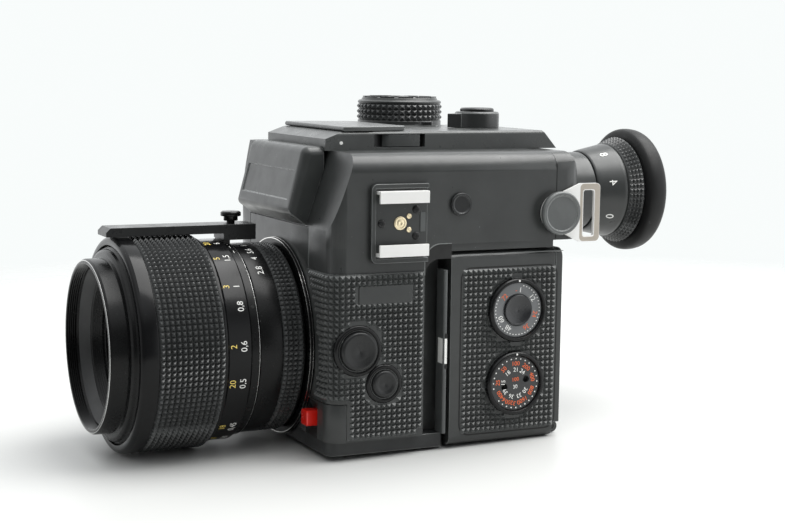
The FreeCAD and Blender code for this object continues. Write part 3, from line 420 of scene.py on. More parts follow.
def glyphs(text, size):
    """Flat letters about the origin, size millimetres high, as (vertices, faces)."""
    curve = bpy.data.curves.new("glyphs", "FONT")
    curve.body = text
    curve.size = size * 1.35
    curve.extrude = 0.5
    curve.resolution_u = 3
    curve.align_x = "CENTER"
    curve.align_y = "CENTER"
    obj = bpy.data.objects.new("glyphs", curve)
    mesh = bpy.data.meshes.new_from_object(obj)
    verts = [tuple(v.co) for v in mesh.vertices]
    faces = [list(p.vertices) for p in mesh.polygons]
    bpy.data.objects.remove(obj)
    bpy.data.curves.remove(curve)
    bpy.data.meshes.remove(mesh)
    return verts, faces


INK = 0.03     # thickness of the printing


def printed(place, text, u, v, size, turn=0.0):
    """Letters lying on a surface; place(u, v, w) gives the point w above it."""
    verts, faces = glyphs(text, size)
    c, s = math.cos(turn), math.sin(turn)
    return [place(u + x * c - y * s, v + x * s + y * c, INK * z * 2) for x, y, z in verts], faces


def dot(place, u, v, radius, sides=14, height=INK, sink=INK):
    """Small printed or raised disc."""
    ring = [(u + radius * math.cos(i * math.tau / sides), v + radius * math.sin(i * math.tau / sides))
            for i in range(sides)]
    verts = [place(a, b, -sink) for a, b in ring] + [place(a, b, height) for a, b in ring]
    faces = [list(range(sides)), list(range(sides, 2 * sides))]
    faces += [[i, (i + 1) % sides, sides + (i + 1) % sides, sides + i] for i in range(sides)]
    return verts, faces


def plate(place, outline, height, sink=0.1):
    """Flat piece with an outline of (u, v) points, standing height above its surface."""
    n = len(outline)
    verts = [place(u, v, -sink) for u, v in outline] + [place(u, v, height) for u, v in outline]
    faces = [list(range(n)), list(range(n, 2 * n))]
    faces += [[i, (i + 1) % n, n + (i + 1) % n, n + i] for i in range(n)]
    return verts, faces


def frame_plate(place, outer, inner, top, sink=0.05):
    """Flat band between two outlines that have the same number of points."""
    n = len(outer)
    verts = [place(u, v, w) for w in (-sink, top) for loop in (outer, inner) for u, v in loop]
    faces = []
    for i in range(n):
        j = (i + 1) % n
        faces += [[i, j, n + j, n + i], [2 * n + i, 2 * n + j, 3 * n + j, 3 * n + i],
                  [i, j, 2 * n + j, 2 * n + i], [n + i, n + j, 3 * n + j, 3 * n + i]]
    return verts, faces


def on_left(x):
    """The left side: u runs back along Y, v up, w outwards."""
    return lambda u, v, w: (x + w, u, v)


def rounded_box(u0, u1, v0, v1, r, steps_in_corner=6):
    out = []
    for cu, cv, start in ((u1 - r, v1 - r, 0), (u0 + r, v1 - r, 90), (u0 + r, v0 + r, 180),
                          (u1 - r, v0 + r, 270)):
        for i in range(steps_in_corner + 1):
            a = math.radians(start + 90 * i / steps_in_corner)
            out.append((cu + r * math.cos(a), cv + r * math.sin(a)))
    return out


def inside_rounded_box(u, v, u0, u1, v0, v1, r):
    du = max(u0 + r - u, 0, u - (u1 - r))
    dv = max(v0 + r - v, 0, v - (v1 - r))
    return u0 <= u <= u1 and v0 <= v <= v1 and math.hypot(du, dv) <= r


# -------- CAD nodes that stay
# width in millimetres of each node's rounded edges, where it is not USUAL_EDGE
EDGE = {"top_plate": 0.35, "finder_front_cover": 0.5, "rear_finder_cover": 0.5, "magazine_shell": 0.3,
        "magazine_door": 0.3, "base_plinth": 0.5, "lens_bar": 0.6, "strap_studs": 0.2,
        "left_strap_bracket": 0.12, "right_strap_bracket": 0.12, "shoe_rails": 0.12, "dark_slide": 0.2,
        "finder_lid": 0.25, "lens_release_button": 0.4, "iris_blades": 0.02, "motor_pinion": 0.05,
        "drive_gear": 0.05}
USUAL_EDGE = 0.15
# the top plate, lid and latch take the lighter copy of the cover paint, painted light
OWN_LOOK = {"top_plate": LIT_COVER_COPY, "finder_lid": LIT_COVER_COPY, "lens_bar": BUTTON, "lens_bar_knob": BEZEL,
            "strap_studs": STUD, "lid_latch": LIT_COVER_COPY, "door_hinge_pin": BUTTON, "dark_slide": HANDLE,
            "top_release_button": BUTTON, "dial_lock_button": BUTTON, "sync_socket_cap": BUTTON}


def dress_node(name, obj):
    """Rounded edges and the slot's material on a CAD node; its own mesh is left as it is. On housing, cover,
    grip and plinth pieces the rounded edges take a paler material, a painted highlight.
    """
    obj.data.materials.clear()
    slot = SLOT_OF[name]
    look = OWN_LOOK.get(name, MATERIALS[slot])
    obj.data.materials.append(look)
    obj.data.shade_smooth()
    weld = obj.modifiers.new("weld", "WELD")
    weld.merge_threshold = 0.002 * MM
    flat = obj.modifiers.new("flats", "DECIMATE")
    flat.decimate_type = "DISSOLVE"
    flat.angle_limit = math.radians(0.6)
    edge = None
    if slot in ("housing", "cover", "grip", "plinth"):
        # painted highlight on the rounded edges: less pale on buttons and bezels, near white on the slide's
        # handle
        edge = EDGE_HIGHLIGHTS["black"] if look in (BEZEL, BUTTON) else EDGE_HIGHLIGHTS["pale" if look is HANDLE else "dark"]
    soft_corners(obj, EDGE.get(name, USUAL_EDGE), edge=edge)


def flatten(mesh, angle, triangles=False):
    """Joins doubled vertices and dissolves the edges inside flat areas."""
    shape = bmesh.new()
    shape.from_mesh(mesh)
    bmesh.ops.remove_doubles(shape, verts=shape.verts, dist=2e-6)
    bmesh.ops.dissolve_limit(shape, angle_limit=angle, verts=shape.verts, edges=shape.edges)
    if triangles:
        bmesh.ops.triangulate(shape, faces=shape.faces)
    shape.to_mesh(mesh)
    shape.free()


def mesh_after_modifiers(obj):
    bpy.context.view_layer.update()
    return bpy.data.meshes.new_from_object(obj.evaluated_get(bpy.context.evaluated_depsgraph_get()))


def fused_housing():
    """The two halves of the housing as the one casting that they are."""
    halves = []
    for name in ("main_housing", "finder_housing"):
        mesh = NODES[name].data.copy()
        flatten(mesh, 0.01, triangles=True)
        halves.append(new_object("half_" + name, mesh))
    join = halves[0].modifiers.new("join", "BOOLEAN")
    join.operation = "UNION"
    join.solver = "EXACT"
    join.object = halves[1]
    shell = mesh_after_modifiers(halves[0])
    for obj in halves:
        bpy.data.objects.remove(obj)
    flatten(shell, 0.012)
    shell.materials.clear()
    shell.materials.append(MATERIALS["housing"])
    obj = new_object("housing_casting", shell)
    # the rounded edges take a paler colour, a painted highlight
    soft_corners(obj, 0.4, edge=EDGE_HIGHLIGHTS["dark"])
    obj.modifiers.remove(obj.modifiers["shading"])
    eased = mesh_after_modifiers(obj)
    obj.modifiers.clear()
    obj.data = eased
    flats_first(eased)
    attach(obj, "camera")
    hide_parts("main_housing", "finder_housing")


# -------- lens
INDEX_R = 31.3          # outside of the ring with the index marks
STOPS_R = 30.8          # outside of the aperture ring, under its numbers
SCALE_R = 32.5          # outside of the focus ring, under its numbers


def on_lens(radius):
    """Surface of a lens ring: u runs round it, v forward from the front plate, w outwards."""
    return lambda u, v, w: LENS(ahead(v), radius + w, u / radius)


def round_lens(radius, degrees):
    return math.radians(degrees) * radius


def make_lens():
    mount = [(0.0, 25.0), (0.0, 32.3), (1.3, 32.3), (1.5, 32.1), (1.5, 25.0)]
    piece("lens_flange", [lathe(LENS, forward(mount))], MATERIALS["lens_black"], "camera",
          standing_for=["lens_mount_ring"])
    lines = [lathe(LENS, forward([(d, r - 0.3), (d, r), (d + 0.16, r), (d + 0.16, r - 0.3)]), 0.03)
             for d, r in ((0.5, 32.38), (1.42, 32.2))]
    piece("flange_bright_lines", lines, MATERIALS["mount"], "camera")

    aperture = [(17.6, 26.1), (17.6, 30.4), (17.2, STOPS_R), (10.2, STOPS_R), (9.8, 30.2), (9.6, 30.0),
                (3.0, 30.0), (2.8, 30.3), (2.1, 29.8), (2.1, 26.1)]
    piece("aperture_ring_body", [lathe(LENS, forward(aperture))], MATERIALS["lens_black"], "aperture",
          standing_for=["aperture_ring"])
    grip = knurl(LENS, 30.0, ahead(9.6), ahead(3.0), 4, 118, 0.75, 0.18)
    piece("aperture_ring_knurl", [grip], KNURL, "aperture")

    focus = [(20.8, 31.4), (20.8, 32.1), (21.2, SCALE_R), (28.2, SCALE_R), (28.5, 32.8), (28.9, 33.3),
             (29.6, 33.4), (50.6, 33.4), (50.7, 34.0), (51.0, 34.3), (55.0, 34.3), (55.8, 34.0),
             (56.3, 33.4), (56.4, 32.8), (56.4, 31.6), (28.0, 31.6), (27.6, 31.4)]
    piece("focus_ring_body", [lathe(LENS, forward(focus), segments=224)], MATERIALS["lens_gloss"],
          "focus", standing_for=["focus_ring"])
    grip = knurl(LENS, 33.42, ahead(50.4), ahead(29.8), 12, 120, 0.86, 0.18)
    piece("focus_ring_knurl", [grip], KNURL, "focus")

    feet, metres = [], []
    for degrees, f, m in ((78, "20", "6"), (60, "5", "1,5"), (39, "3", "1"), (27, "", "0,8"),
                          (5, "2", "0,6"), (-16, "20", "0,5"), (-49, "18", "0,45"), (-66, "17", "0,4")):
        u = round_lens(SCALE_R, degrees)
        if f:
            feet.append(printed(on_lens(SCALE_R), f, u, 26.7, 2.1))
        metres.append(printed(on_lens(SCALE_R), m, u, 23.4, 2.1))
    piece("focus_scale_feet", feet, YELLOW_INK, "focus")
    piece("focus_scale_metres", metres, WHITE_INK, "focus")

    stops = [printed(on_lens(STOPS_R), text, round_lens(STOPS_R, degrees), 13.4, 2.2)
             for text, degrees in (("2.8", 52), ("4", 63), ("5.6", 72), ("8", 82), ("11", 92), ("16", 103))]
    piece("aperture_scale", stops, WHITE_INK, "aperture")

    on_index = on_lens(INDEX_R)
    marks = [printed(on_index, "l", round_lens(INDEX_R, degrees), 19.2, 1.5, math.pi / 2)
             for degrees in (70, 77, 83, 97)]
    piece("index_marks", marks, WHITE_INK, "lens")
    edge = lathe(LENS, forward([(17.9, 30.9), (17.9, 31.34), (18.02, 31.36), (18.02, 30.9)]), 0.02)
    piece("index_edge", [edge], BARE_EDGE, "lens")
    screws = []
    for degrees in (27, -36, 150, 210):
        u = round_lens(INDEX_R, degrees)
        screws += [dot(on_index, u, 19.2, 0.62, height=0.06), dot(on_index, u, 19.2, 0.34, height=0.12)]
    piece("index_screws", screws, LINE_BLACK, "lens")

    # from the filter rim inwards: filter thread, smooth cone, light baffles
    barrel = [(36.6, 26.4), (36.6, 31.4), (56.0, 31.2), (56.6, 30.4), (57.5, 30.2), (58.1, 29.3),
              (58.3, 28.2), (58.5, 27.6), (63.2, 27.6), (63.8, 27.3), (64.1, 26.8), (64.1, 26.1),
              (63.8, 25.75)]
    for i in range(5):
        d = 63.5 - i * 0.65
        barrel += [(d, 26.15), (d - 0.32, 25.7)]
    barrel += [(60.2, 25.6), (59.9, 25.4), (56.6, 22.7), (56.4, 22.3)]
    for i in range(5):
        r = 22.1 - i * 0.62
        barrel += [(55.9 - i * 0.5, r), (55.9 - i * 0.5, r - 0.4)]
    barrel += [(53.2, 19.2), (53.0, 18.2), (50.0, 18.2), (50.0, 20.2), (52.0, 20.2), (54.6, 24.4),
               (54.6, 26.4)]
    cell = [(51.8, 18.3), (51.8, 20.2), (12.0, 20.2), (12.0, 14.0), (13.0, 14.0), (13.0, 18.3)]
    piece("front_barrel", [lathe(LENS, forward(barrel), 0.1, 192), lathe(LENS, forward(cell), 0.1, 96)],
          MATERIALS["lens_black"], "optics", standing_for=["inner_barrel"])
    band = [(60.0, 25.5), (59.95, 25.38), (56.8, 22.8), (56.8, 23.2), (59.9, 25.8)]
    piece("front_inner_band", [lathe(LENS, forward(band), 0.02, 192)], INNER_BAND, "optics")
    rim = [(63.8, 27.1), (63.95, 27.2), (64.07, 27.0), (63.9, 26.8)]
    piece("front_rim_edge", [lathe(LENS, forward(rim), 0.03, 192)], BARE_EDGE, "optics")


# -------- eyepiece
def make_eyepiece():
    back = high("dioptre_ring").y
    first = low("dioptre_ring").y
    inner = 12.8
    ring = [(first, inner), (first, 14.0), (first + 0.5, 14.3), (first + 1.6, 14.6), (first + 9.6, 16.3),
            (first + 10.6, 16.4), (first + 10.8, 15.9), (first + 11.2, 15.9), (first + 11.4, 16.5),
            (back - 0.4, 18.5), (back, 18.2), (back, 17.8), (back - 4.6, 14.6), (back - 4.6, inner)]
    piece("dioptre_ring_body", [lathe(EYE, ring, 0.12, 128)], MATERIALS["cover"], "dioptre",
          standing_for=["dioptre_ring"])
    a, b = first + 11.5, back - 0.5

    def cone(d):
        return 16.5 + (d - a) / (b - a) * 2.0

    piece("dioptre_ring_knurl", [knurl(EYE, cone, a, b, 4, 64, 0.5, 0.2)], KNURL, "dioptre")

    text_r = 15.5

    def on_ring(u, v, w):
        """The conical smooth band; the printing stands up enough to clear its slope."""
        r = 14.6 + (v - first - 1.6) / 8.0 * 1.7
        return EYE(v, r + 4 * w, u / text_r)

    digits = []
    for degrees, text in ((58, "8"), (14, "4"), (-32, "0"), (-78, "4"), (-124, "8")):
        digits.append(printed(on_ring, text, math.radians(degrees) * text_r, first + 5.4, 3.0))
    piece("dioptre_scale", digits, WHITE_INK, "dioptre")

    cup0, cup1 = low("rubber_eyecup").y, high("rubber_eyecup").y
    cup = [(cup0, 14.6), (cup0, 19.0), (cup0 + 0.2, 20.2), (cup0 + 0.8, 21.2), (cup0 + 1.8, 21.7),
           (cup0 + 3.6, 21.8), (cup0 + 5.6, 21.5), (cup0 + 6.8, 20.9), (cup1 - 0.2, 20.1), (cup1, 19.3),
           (cup1 - 0.3, 18.4), (cup1 - 1.2, 17.8), (cup1 - 2.6, 17.0), (cup0 + 3.4, 16.6),
           (cup0 + 2.2, 15.4), (cup0 + 1.6, 14.6)]
    piece("eyecup_rubber", [lathe(EYE, cup, 0.7, 144)], MATERIALS["rubber"], "dioptre",
          standing_for=["rubber_eyecup"])


# -------- top
def make_top():
    centre = middle("shutter_speed_dial")
    z0, z1 = low("shutter_speed_dial").z, high("shutter_speed_dial").z
    face = z1 - 0.9
    at = about_z(centre.x, centre.y)
    dial = [(z0, 3.2), (z0, 14.7), (z0 + 0.4, 15.1), (z0 + 2.0, 15.1), (z0 + 2.3, 14.7), (z0 + 8.0, 14.7),
            (z0 + 8.3, 15.1), (z0 + 8.9, 15.1), (z0 + 9.3, 14.5), (z0 + 9.4, 13.8), (face, 13.5),
            (z1 - 0.6, 12.9), (z1 - 0.6, 11.2), (face, 11.0), (face, 3.7), (z1 - 1.2, 3.2)]
    grips = knurl(at, 14.75, z0 + 2.3, z0 + 8.0, 3, 42, 0.62, 0.2)
    plates = []
    for i in range(12):
        a0 = math.radians(i * 30 + 3)
        outline = [(11.6, a0), (13.3, a0), (13.3, a0 + 0.13), (13.3, a0 + 0.27), (13.3, a0 + 0.41),
                   (11.6, a0 + 0.41), (11.6, a0 + 0.27), (11.6, a0 + 0.13)]
        plates.append(plate(lambda r, a, w: at(z1 - 0.65 + w, r, a), outline, 0.3, 0.15))

    def on_dial(u, v, w):
        return (centre.x + u, centre.y + v, face + w)

    tab = plate(on_dial, rounded_box(-1.6, 1.6, -11.2, -5.0, 0.6), 0.85)
    hub = lathe(at, [(z1 - 1.3, 0.0), (z1 - 1.3, 3.4), (z1 - 0.5, 3.4), (z1 - 0.2, 3.0), (z1 - 0.2, 0.0)],
                0.1, 48)
    piece("shutter_dial_body", [lathe(at, dial, 0.12, 128), hub] + plates + [tab], MATERIALS["cover"],
          "speed_dial", standing_for=["shutter_speed_dial"])
    piece("shutter_dial_knurl", [grips], KNURL, "speed_dial")
    speeds = []
    for i, text in enumerate(("B", "16", "8", "4", "2", "1", "2", "4", "8", "15", "30", "60", "125", "250",
                              "500", "1000")):
        a = math.radians(-60 - i * 22.5)
        speeds.append(printed(on_dial, text, 8.9 * math.cos(a), 8.9 * math.sin(a), 1.5, a - math.pi / 2))
    piece("shutter_dial_scale", speeds, WHITE_INK, "speed_dial")

    # pin dot and a flush screwed disc on the top plate
    side = high("top_plate").x
    front = low("top_plate").y
    shoulder = low("top_plate").z
    piece("plate_pin", [dot(on_left(side), front + 5.4, shoulder + 2.4, 0.55, height=0.12)], WHITE_INK,
          "camera")
    top = high("finder_lid").z - 1.6

    def flat_top(u, v, w):
        return (u, v, top + w)

    ring = [dot(flat_top, 15.0, 46.0, 3.1, 32, 0.16), dot(flat_top, 15.0, 46.0, 1.0, 16, 0.24)]
    piece("top_flush_disc", ring, MATERIALS["cover"], "camera", round_by=0.05)


# -------- left side
PITCH = 1.79            # of the moulded pyramids
GRIP_HEIGHT = 0.78      # of the pyramids on the grips
GRIP_GAP = 0.3          # plain margin round a grip
LENS_CLEAR = 36.6       # radius round the lens axis that the grips leave free
DIAL_CLEAR = 10.3       # radius round a dial that its panel leaves free
PANEL_CORNER = 3.4


def grip_rows(low_z, high_z):
    return steps(low_z + GRIP_GAP, high_z - GRIP_GAP, round((high_z - low_z - 2 * GRIP_GAP) / PITCH))


def wall_panel(name, place, u0, u1, v0, v1, body, height, dials=()):
    """Field of pyramids with a dark line round it, on one wall of the magazine."""
    def keep(u, v):
        if any(math.hypot(u - a, v - b) < DIAL_CLEAR + PITCH * 0.42 for a, b in dials):
            return False
        return inside_rounded_box(u, v, u0 - 0.2, u1 + 0.2, v0 - 0.2, v1 + 0.2, PANEL_CORNER)

    cells = pyramids(place, steps(u0, u1, round((u1 - u0) / PITCH)),
                     steps(v0, v1, round((v1 - v0) / PITCH)), height, keep=keep, sink=0.1)
    border = frame_plate(place, rounded_box(u0 - 0.75, u1 + 0.75, v0 - 0.75, v1 + 0.75, 3.8),
                         rounded_box(u0 - 0.3, u1 + 0.3, v0 - 0.3, v1 + 0.3, PANEL_CORNER), 0.04)
    piece(name + "_texture", [cells], MATERIALS["grip"], body)
    piece(name + "_border", [border], LINE_BLACK, body)


def make_left_side():
    grip_low, grip_high = low("left_grip_cover"), high("left_grip_cover")
    face_x, face_y = grip_high.x, grip_low.y
    radius = 5.7
    flat = (grip_high.y - GRIP_GAP) - (face_y + radius)
    arc = radius * math.pi / 2
    total = flat + arc + (face_x - radius - grip_low.x - 0.4)

    def wrap(u, v, w):
        """u runs forward along the side, round the corner and inwards across the front."""
        if u <= flat:
            return (face_x + w, grip_high.y - GRIP_GAP - u, v)
        if u <= flat + arc:
            t = (u - flat) / radius
            return (face_x - radius + (radius + w) * math.cos(t),
                    face_y + radius - (radius + w) * math.sin(t), v)
        return (face_x - radius - (u - flat - arc), face_y - w, v)

    buttons = [(middle(n).y, middle(n).z, (high(n).z - low(n).z) / 2 + 2.0)
               for n in ("front_release_button", "preview_button")]
    plate_box = (-11.9, 7.2, 47.0, 53.6)

    def keep(u, v):
        x, y, z = wrap(u, v, 0.0)
        half = PITCH / 2
        if any(math.hypot(y - by, z - bz) < r + half * 0.6 and u <= flat for by, bz, r in buttons):
            return False
        if u <= flat and plate_box[0] < y < plate_box[1] and plate_box[2] < z < plate_box[3]:
            return False
        if z < 17.3 + half * 0.5 and y < -14.5:
            return False
        if u > flat and math.hypot(x, z - AXIS_Z) < LENS_CLEAR + half * 0.7:
            return False
        return u > flat or inside_rounded_box(y, z, -60, grip_high.y, grip_low.z, grip_high.z + 9, 5.6)

    sheet = pyramids(wrap, steps(0, total, round(total / PITCH)), grip_rows(grip_low.z, grip_high.z),
                     GRIP_HEIGHT, keep=keep)
    piece("left_grip_texture", [sheet], MATERIALS["grip"], "camera")
    label = plate(on_left(face_x), rounded_box(-11.3, 6.6, 47.5, 53.1, 0.5), 0.35)
    piece("blank_label", [label], MATERIALS["cover"], "camera", round_by=0.12)

    shell = on_left(LEFT_X)
    dials = [(middle(n).y, middle(n).z) for n in ("frame_counter_dial", "film_speed_dial")]
    wall_panel("magazine_panel", shell, 24.9, 58.9, 3.9, 56.6, "magazine", 0.74, dials)
    # thin pale strip along the top of the magazine's side: a painted highlight
    painted_highlight_strip = plate(shell, [(23.0, 61.35), (61.5, 61.35), (61.5, 61.55), (23.0, 61.55)], 0.05)
    piece("magazine_top_painted_highlight", [painted_highlight_strip], EDGE_HIGHLIGHTS["dark"], "magazine")
    make_counter(*dials[0])
    make_speed(*dials[1])

    bezels = [lathe(about_x(y, z), [(LEFT_X - 0.5, 9.1), (LEFT_X - 0.5, 10.35), (LEFT_X + 1.55, 10.35),
                                    (LEFT_X + 2.08, 9.85), (LEFT_X + 2.08, 9.15), (LEFT_X + 1.5, 8.86),
                                    (LEFT_X + 0.4, 8.86)], 0.14, 96) for y, z in dials]
    piece("dial_bezels", bezels, BEZEL, "magazine")

    # index dots on both bezels
    tops = [dot(on_left(LEFT_X + 2.05), y, z + 9.5, 0.34, height=0.06) for y, z in dials]
    piece("bezel_index_dots", tops, WHITE_INK, "magazine")

    # white mark and its end blocks on the slide's pull bar
    x = high("dark_slide").x
    face = on_left(x)
    y_bar = low("dark_slide").y
    z0, z1 = 27.2, 35.2
    strip = plate(face, rounded_box(y_bar + 0.45, y_bar + 1.3, z0, z1, 0.1), 0.05)
    side_strip = plate(lambda u, v, w: (u, y_bar - w, v), rounded_box(x - 3.6, x - 0.55, z0, z1, 0.1), 0.04)
    piece("slide_strip", [strip, side_strip], WHITE_INK, "slide")
    stops = [plate(face, rounded_box(y_bar + 0.55, y_bar + 1.38, z, z + 1.3, 0.2), 0.12)
             for z in (25.6, 35.5)]
    piece("slide_stops", stops, LINE_BLACK, "slide")

    tab = plate(on_left(low("shoe_rails").x), rounded_box(9.3, 11.0, 69.4, 75.4, 0.2), 0.25)
    piece("shoe_end_tab", [tab], HANDLE, "camera")


def make_side_buttons():
    for name in ("front_release_button", "preview_button"):
        at = about_x(middle(name).y, middle(name).z)
        r, top = (high(name).z - low(name).z) / 2, high(name).x
        cap = [(top - 2.2, 0.0), (top - 2.2, r), (top - 0.75, r), (top - 0.2, r - 0.3), (top, r - 0.9),
               (top - 0.1, r - 1.5), (top - 0.32, r * 0.5), (top - 0.38, 0.0)]
        piece(name + "_cap", [lathe(at, cap, 0.25, 80)], BUTTON, BODY_OF[name], standing_for=[name])
        ring = [(LEFT_X - 0.4, r + 0.25), (LEFT_X - 0.4, r + 1.95), (LEFT_X + 0.7, r + 1.95),
                (LEFT_X + 1.25, r + 1.6), (LEFT_X + 1.4, r + 1.0), (LEFT_X + 1.2, r + 0.45),
                (LEFT_X + 0.6, r + 0.25)]
        piece(name + "_bezel", [lathe(at, ring, 0.25, 96)], BEZEL, "camera")


def make_shoe():
    x, z = low("shoe_contacts").x, middle("shoe_contacts").z
    faces = []
    for y, dz, r in ((2.4, 0.0, 2.1), (5.4, -2.1, 0.85), (5.4, 2.1, 0.85)):
        faces.append(lathe(about_x(y, z + dz), [(x, 0.0), (x, r), (x + 0.3, r), (x + 0.42, r * 0.82),
                                                (x + 0.34, r * 0.6), (x + 0.44, r * 0.34),
                                                (x + 0.34, 0.0)], 0.05, 48))
    piece("shoe_contact_faces", faces, MATERIALS["brass"], "camera", standing_for=["shoe_contacts"])
    heads, crosses = [], []
    for y, dz in ((-3.8, 0.0), (7.9, -4.1), (7.9, 4.1)):
        heads.append(lathe(about_x(y, z + dz), [(x, 0.0), (x, 1.3), (x + 0.3, 1.25), (x + 0.52, 0.8),
                                                (x + 0.55, 0.0)], 0.08, 40))
        for c, d in ((1.0, 0.0), (0.0, 1.0)):
            outline = [(a * 0.8 * c + b * 0.15 * d, a * 0.8 * d + b * 0.15 * c)
                       for a, b in ((1, -1), (1, 1), (-1, 1), (-1, -1))]
            crosses.append(plate(on_left(x + 0.54), [(y + u, z + dz + v) for u, v in outline], 0.03, 0.2))
    piece("shoe_screw_heads", heads, BUTTON, "camera")
    piece("shoe_screw_crosses", crosses, LINE_BLACK, "camera")


def make_outlines():
    """Frame of the blank panel on the nose with its pale lip of painted highlight, strap loop face, a
    crescent of painted shade over the finger channel's rounded top with a ridge of painted highlight along
    it, and the rear cover's seam."""
    nose = low("finder_front_cover")
    slope = math.atan2(2.4, 9.0)

    def on_nose(u, v, w):
        return (u, nose.y + 1.35 + v * math.sin(slope) - w * math.cos(slope),
                nose.z + 8.1 + v * math.cos(slope) + w * math.sin(slope))

    groove = frame_plate(on_nose, rounded_box(-20.4, 20.4, 0.1, 9.2, 0.6),
                         rounded_box(-20.05, 20.05, 0.45, 8.85, 0.4), 0.05)
    piece("name_panel_groove", [groove], LINE_BLACK, "camera")
    # raised lip inside the groove, coloured pale: a painted highlight on a real lip
    lip = frame_plate(on_nose, rounded_box(-19.3, 19.3, 1.1, 8.2, 0.5),
                      rounded_box(-19.05, 19.05, 1.35, 7.95, 0.4), 0.14)
    piece("name_panel_lip_highlight", [lip], EDGE_HIGHLIGHTS["dark"], "camera")

    loop = high("left_strap_bracket")
    ring = frame_plate(on_left(loop.x), rounded_box(loop.y - 7.5, loop.y - 0.1, 64.4, 83.1, 1.4),
                       rounded_box(loop.y - 6.55, loop.y - 1.95, 65.75, 81.25, 0.9), 0.03)
    piece("strap_loop_face", [ring], LOOP, BODY_OF["left_strap_bracket"])

    # the finger channel's top: a dark crescent of painted shade, and a pale ridge of painted highlight along
    # its arch
    front, rear = 11.55, 20.75
    foot, arch_top = 55.5, 65.1
    quarter = [math.radians(9 * i) for i in range(11)]
    outer = [(front, foot)] + [(front + 5.4 - 5.4 * math.cos(a), 59.7 + 5.4 * math.sin(a)) for a in quarter]
    inner = [(front + 5.0 - 4.95 * math.cos(a), foot + 4.95 * math.sin(a)) for a in quarter]
    shade_crescent = outer + [(rear, arch_top), (rear, 60.45)] + inner[:0:-1]
    piece("channel_painted_shade", [plate(on_left(LEFT_X), shade_crescent, 0.03, 0.05)], MATERIALS["inside_black"],
          "camera")
    seam = low("rear_finder_cover").y
    line = plate(on_left(LEFT_X), [(seam - 0.14, 65.6), (seam + 0.14, 65.6), (seam + 0.14, 89.6),
                                   (seam - 0.14, 89.6)], 0.02, 0.05)
    piece("rear_cover_seam", [line], LINE_BLACK, "camera")
    # pale ridge along the arch: a painted highlight
    ridge = outer + [(rear, arch_top)]
    around = [(u - 0.28 * (front + 5.4 - u > 0), v + 0.28 * (v > 64.0)) for u, v in ridge]
    edge = plate(on_left(LEFT_X), ridge + around[::-1], 0.09, 0.05)
    piece("channel_top_painted_highlight", [edge], EDGE_HIGHLIGHTS["dark"], "camera")


def ring_text(place, y, z, radius, items, size):
    """Letters set round a dial with their tops outwards. items is (degrees, text)."""
    parts = []
    for degrees, text in items:
        a = math.radians(degrees)
        parts.append(printed(place, text, y + radius * math.cos(a), z + radius * math.sin(a), size,
                             a - math.pi / 2))
    return parts


def ring_dots(place, y, z, radius, first, step, count):
    return [dot(place, y + 8.0 * math.cos(a), z + 8.0 * math.sin(a), radius, 10)
            for a in (math.radians(first - i * step) for i in range(count))]


def make_counter(y, z):
    x = high("frame_counter_dial").x
    face = on_left(x)
    dots = ring_dots(face, y, z, 0.21, 75, 8, 37)
    white = ring_text(face, y, z, 6.45, [(82, "1"), (35, "12"), (205, "60"), (240, "48")], 1.75)
    piece("counter_white", dots + white, WHITE_INK, "counter")
    orange = ring_text(face, y, z, 6.45, [(96, "-"), (138, "72"), (345, "24"), (300, "36")], 1.65)
    piece("counter_orange", orange, ORANGE_INK, "counter")
    bowl = [(x - 0.3, 0.0), (x - 0.3, 4.9), (x + 0.75, 4.9), (x + 0.85, 4.7), (x + 0.6, 4.3), (x + 0.38, 3.6),
            (x + 0.18, 2.6), (x + 0.08, 1.4), (x + 0.05, 0.0)]
    piece("counter_window", [lathe(about_x(y, z), bowl, 0.1, 64)], WINDOW, "counter")


def make_speed(y, z):
    face = on_left(high("film_speed_dial").x)
    dots = ring_dots(face, y, z, 0.24, 190, 12.6, 27)
    inner = ring_text(face, y, z, 4.35, [(175, "15"), (130, "18"), (88, "21"), (55, "24"), (-35, "30"),
                                         (-70, "33"), (-108, "36"), (-145, "39")], 1.45)
    centre = [printed(face, "30", y, z - 1.2, 1.3, 0.1)]
    piece("film_speed_white", dots + inner + centre, WHITE_INK, "film_speed")
    outer = ring_text(face, y, z, 6.35, [(175, "25"), (132, "50"), (90, "100"), (52, "200"), (15, "400"),
                                         (-25, "800"), (-65, "1600"), (-105, "3200"), (-143, "6400")], 1.5)
    centre = [printed(face, "100", y, z + 1.2, 1.3, 0.1)]
    piece("film_speed_orange", outer + centre, ORANGE_INK, "film_speed")


# -------- right side
def make_right_side():
    grip_low, grip_high = low("right_grip_cover"), high("right_grip_cover")
    face_x, face_y = grip_low.x, grip_low.y
    radius = 28.7
    flat = (grip_high.y - GRIP_GAP) - (face_y + radius)
    arc = radius * math.pi / 2

    def wrap(u, v, w):
        if u <= flat:
            return (face_x - w, grip_high.y - GRIP_GAP - u, v)
        t = min((u - flat) / radius, math.pi / 2)
        return (face_x + radius - (radius + w) * math.cos(t),
                face_y + radius - (radius + w) * math.sin(t), v)

    def keep(u, v):
        x, y, z = wrap(u, v, 0.0)
        return math.hypot(x, z - AXIS_Z) > LENS_CLEAR + PITCH * 0.4 or u < flat + arc * 0.5

    total = flat + arc
    sheet = pyramids(wrap, steps(0, total, round(total / PITCH)), grip_rows(grip_low.z, grip_high.z),
                     GRIP_HEIGHT, keep=keep)
    piece("right_grip_texture", [sheet], MATERIALS["grip"], "camera")

    # the magazine's right side and its rear door carry the same texture as its left side
    rear = high("magazine_door")
    wall_panel("magazine_right_panel", lambda u, v, w: (RIGHT_X - w, u, v), 24.9, 56.4, 3.9, 56.6,
               "magazine", 0.7)
    wall_panel("door_panel", lambda u, v, w: (u, rear.y + w, v), RIGHT_X + 6.0, LEFT_X - 6.0, 9.5, 56.2,
               BODY_OF["magazine_door"], 0.7)


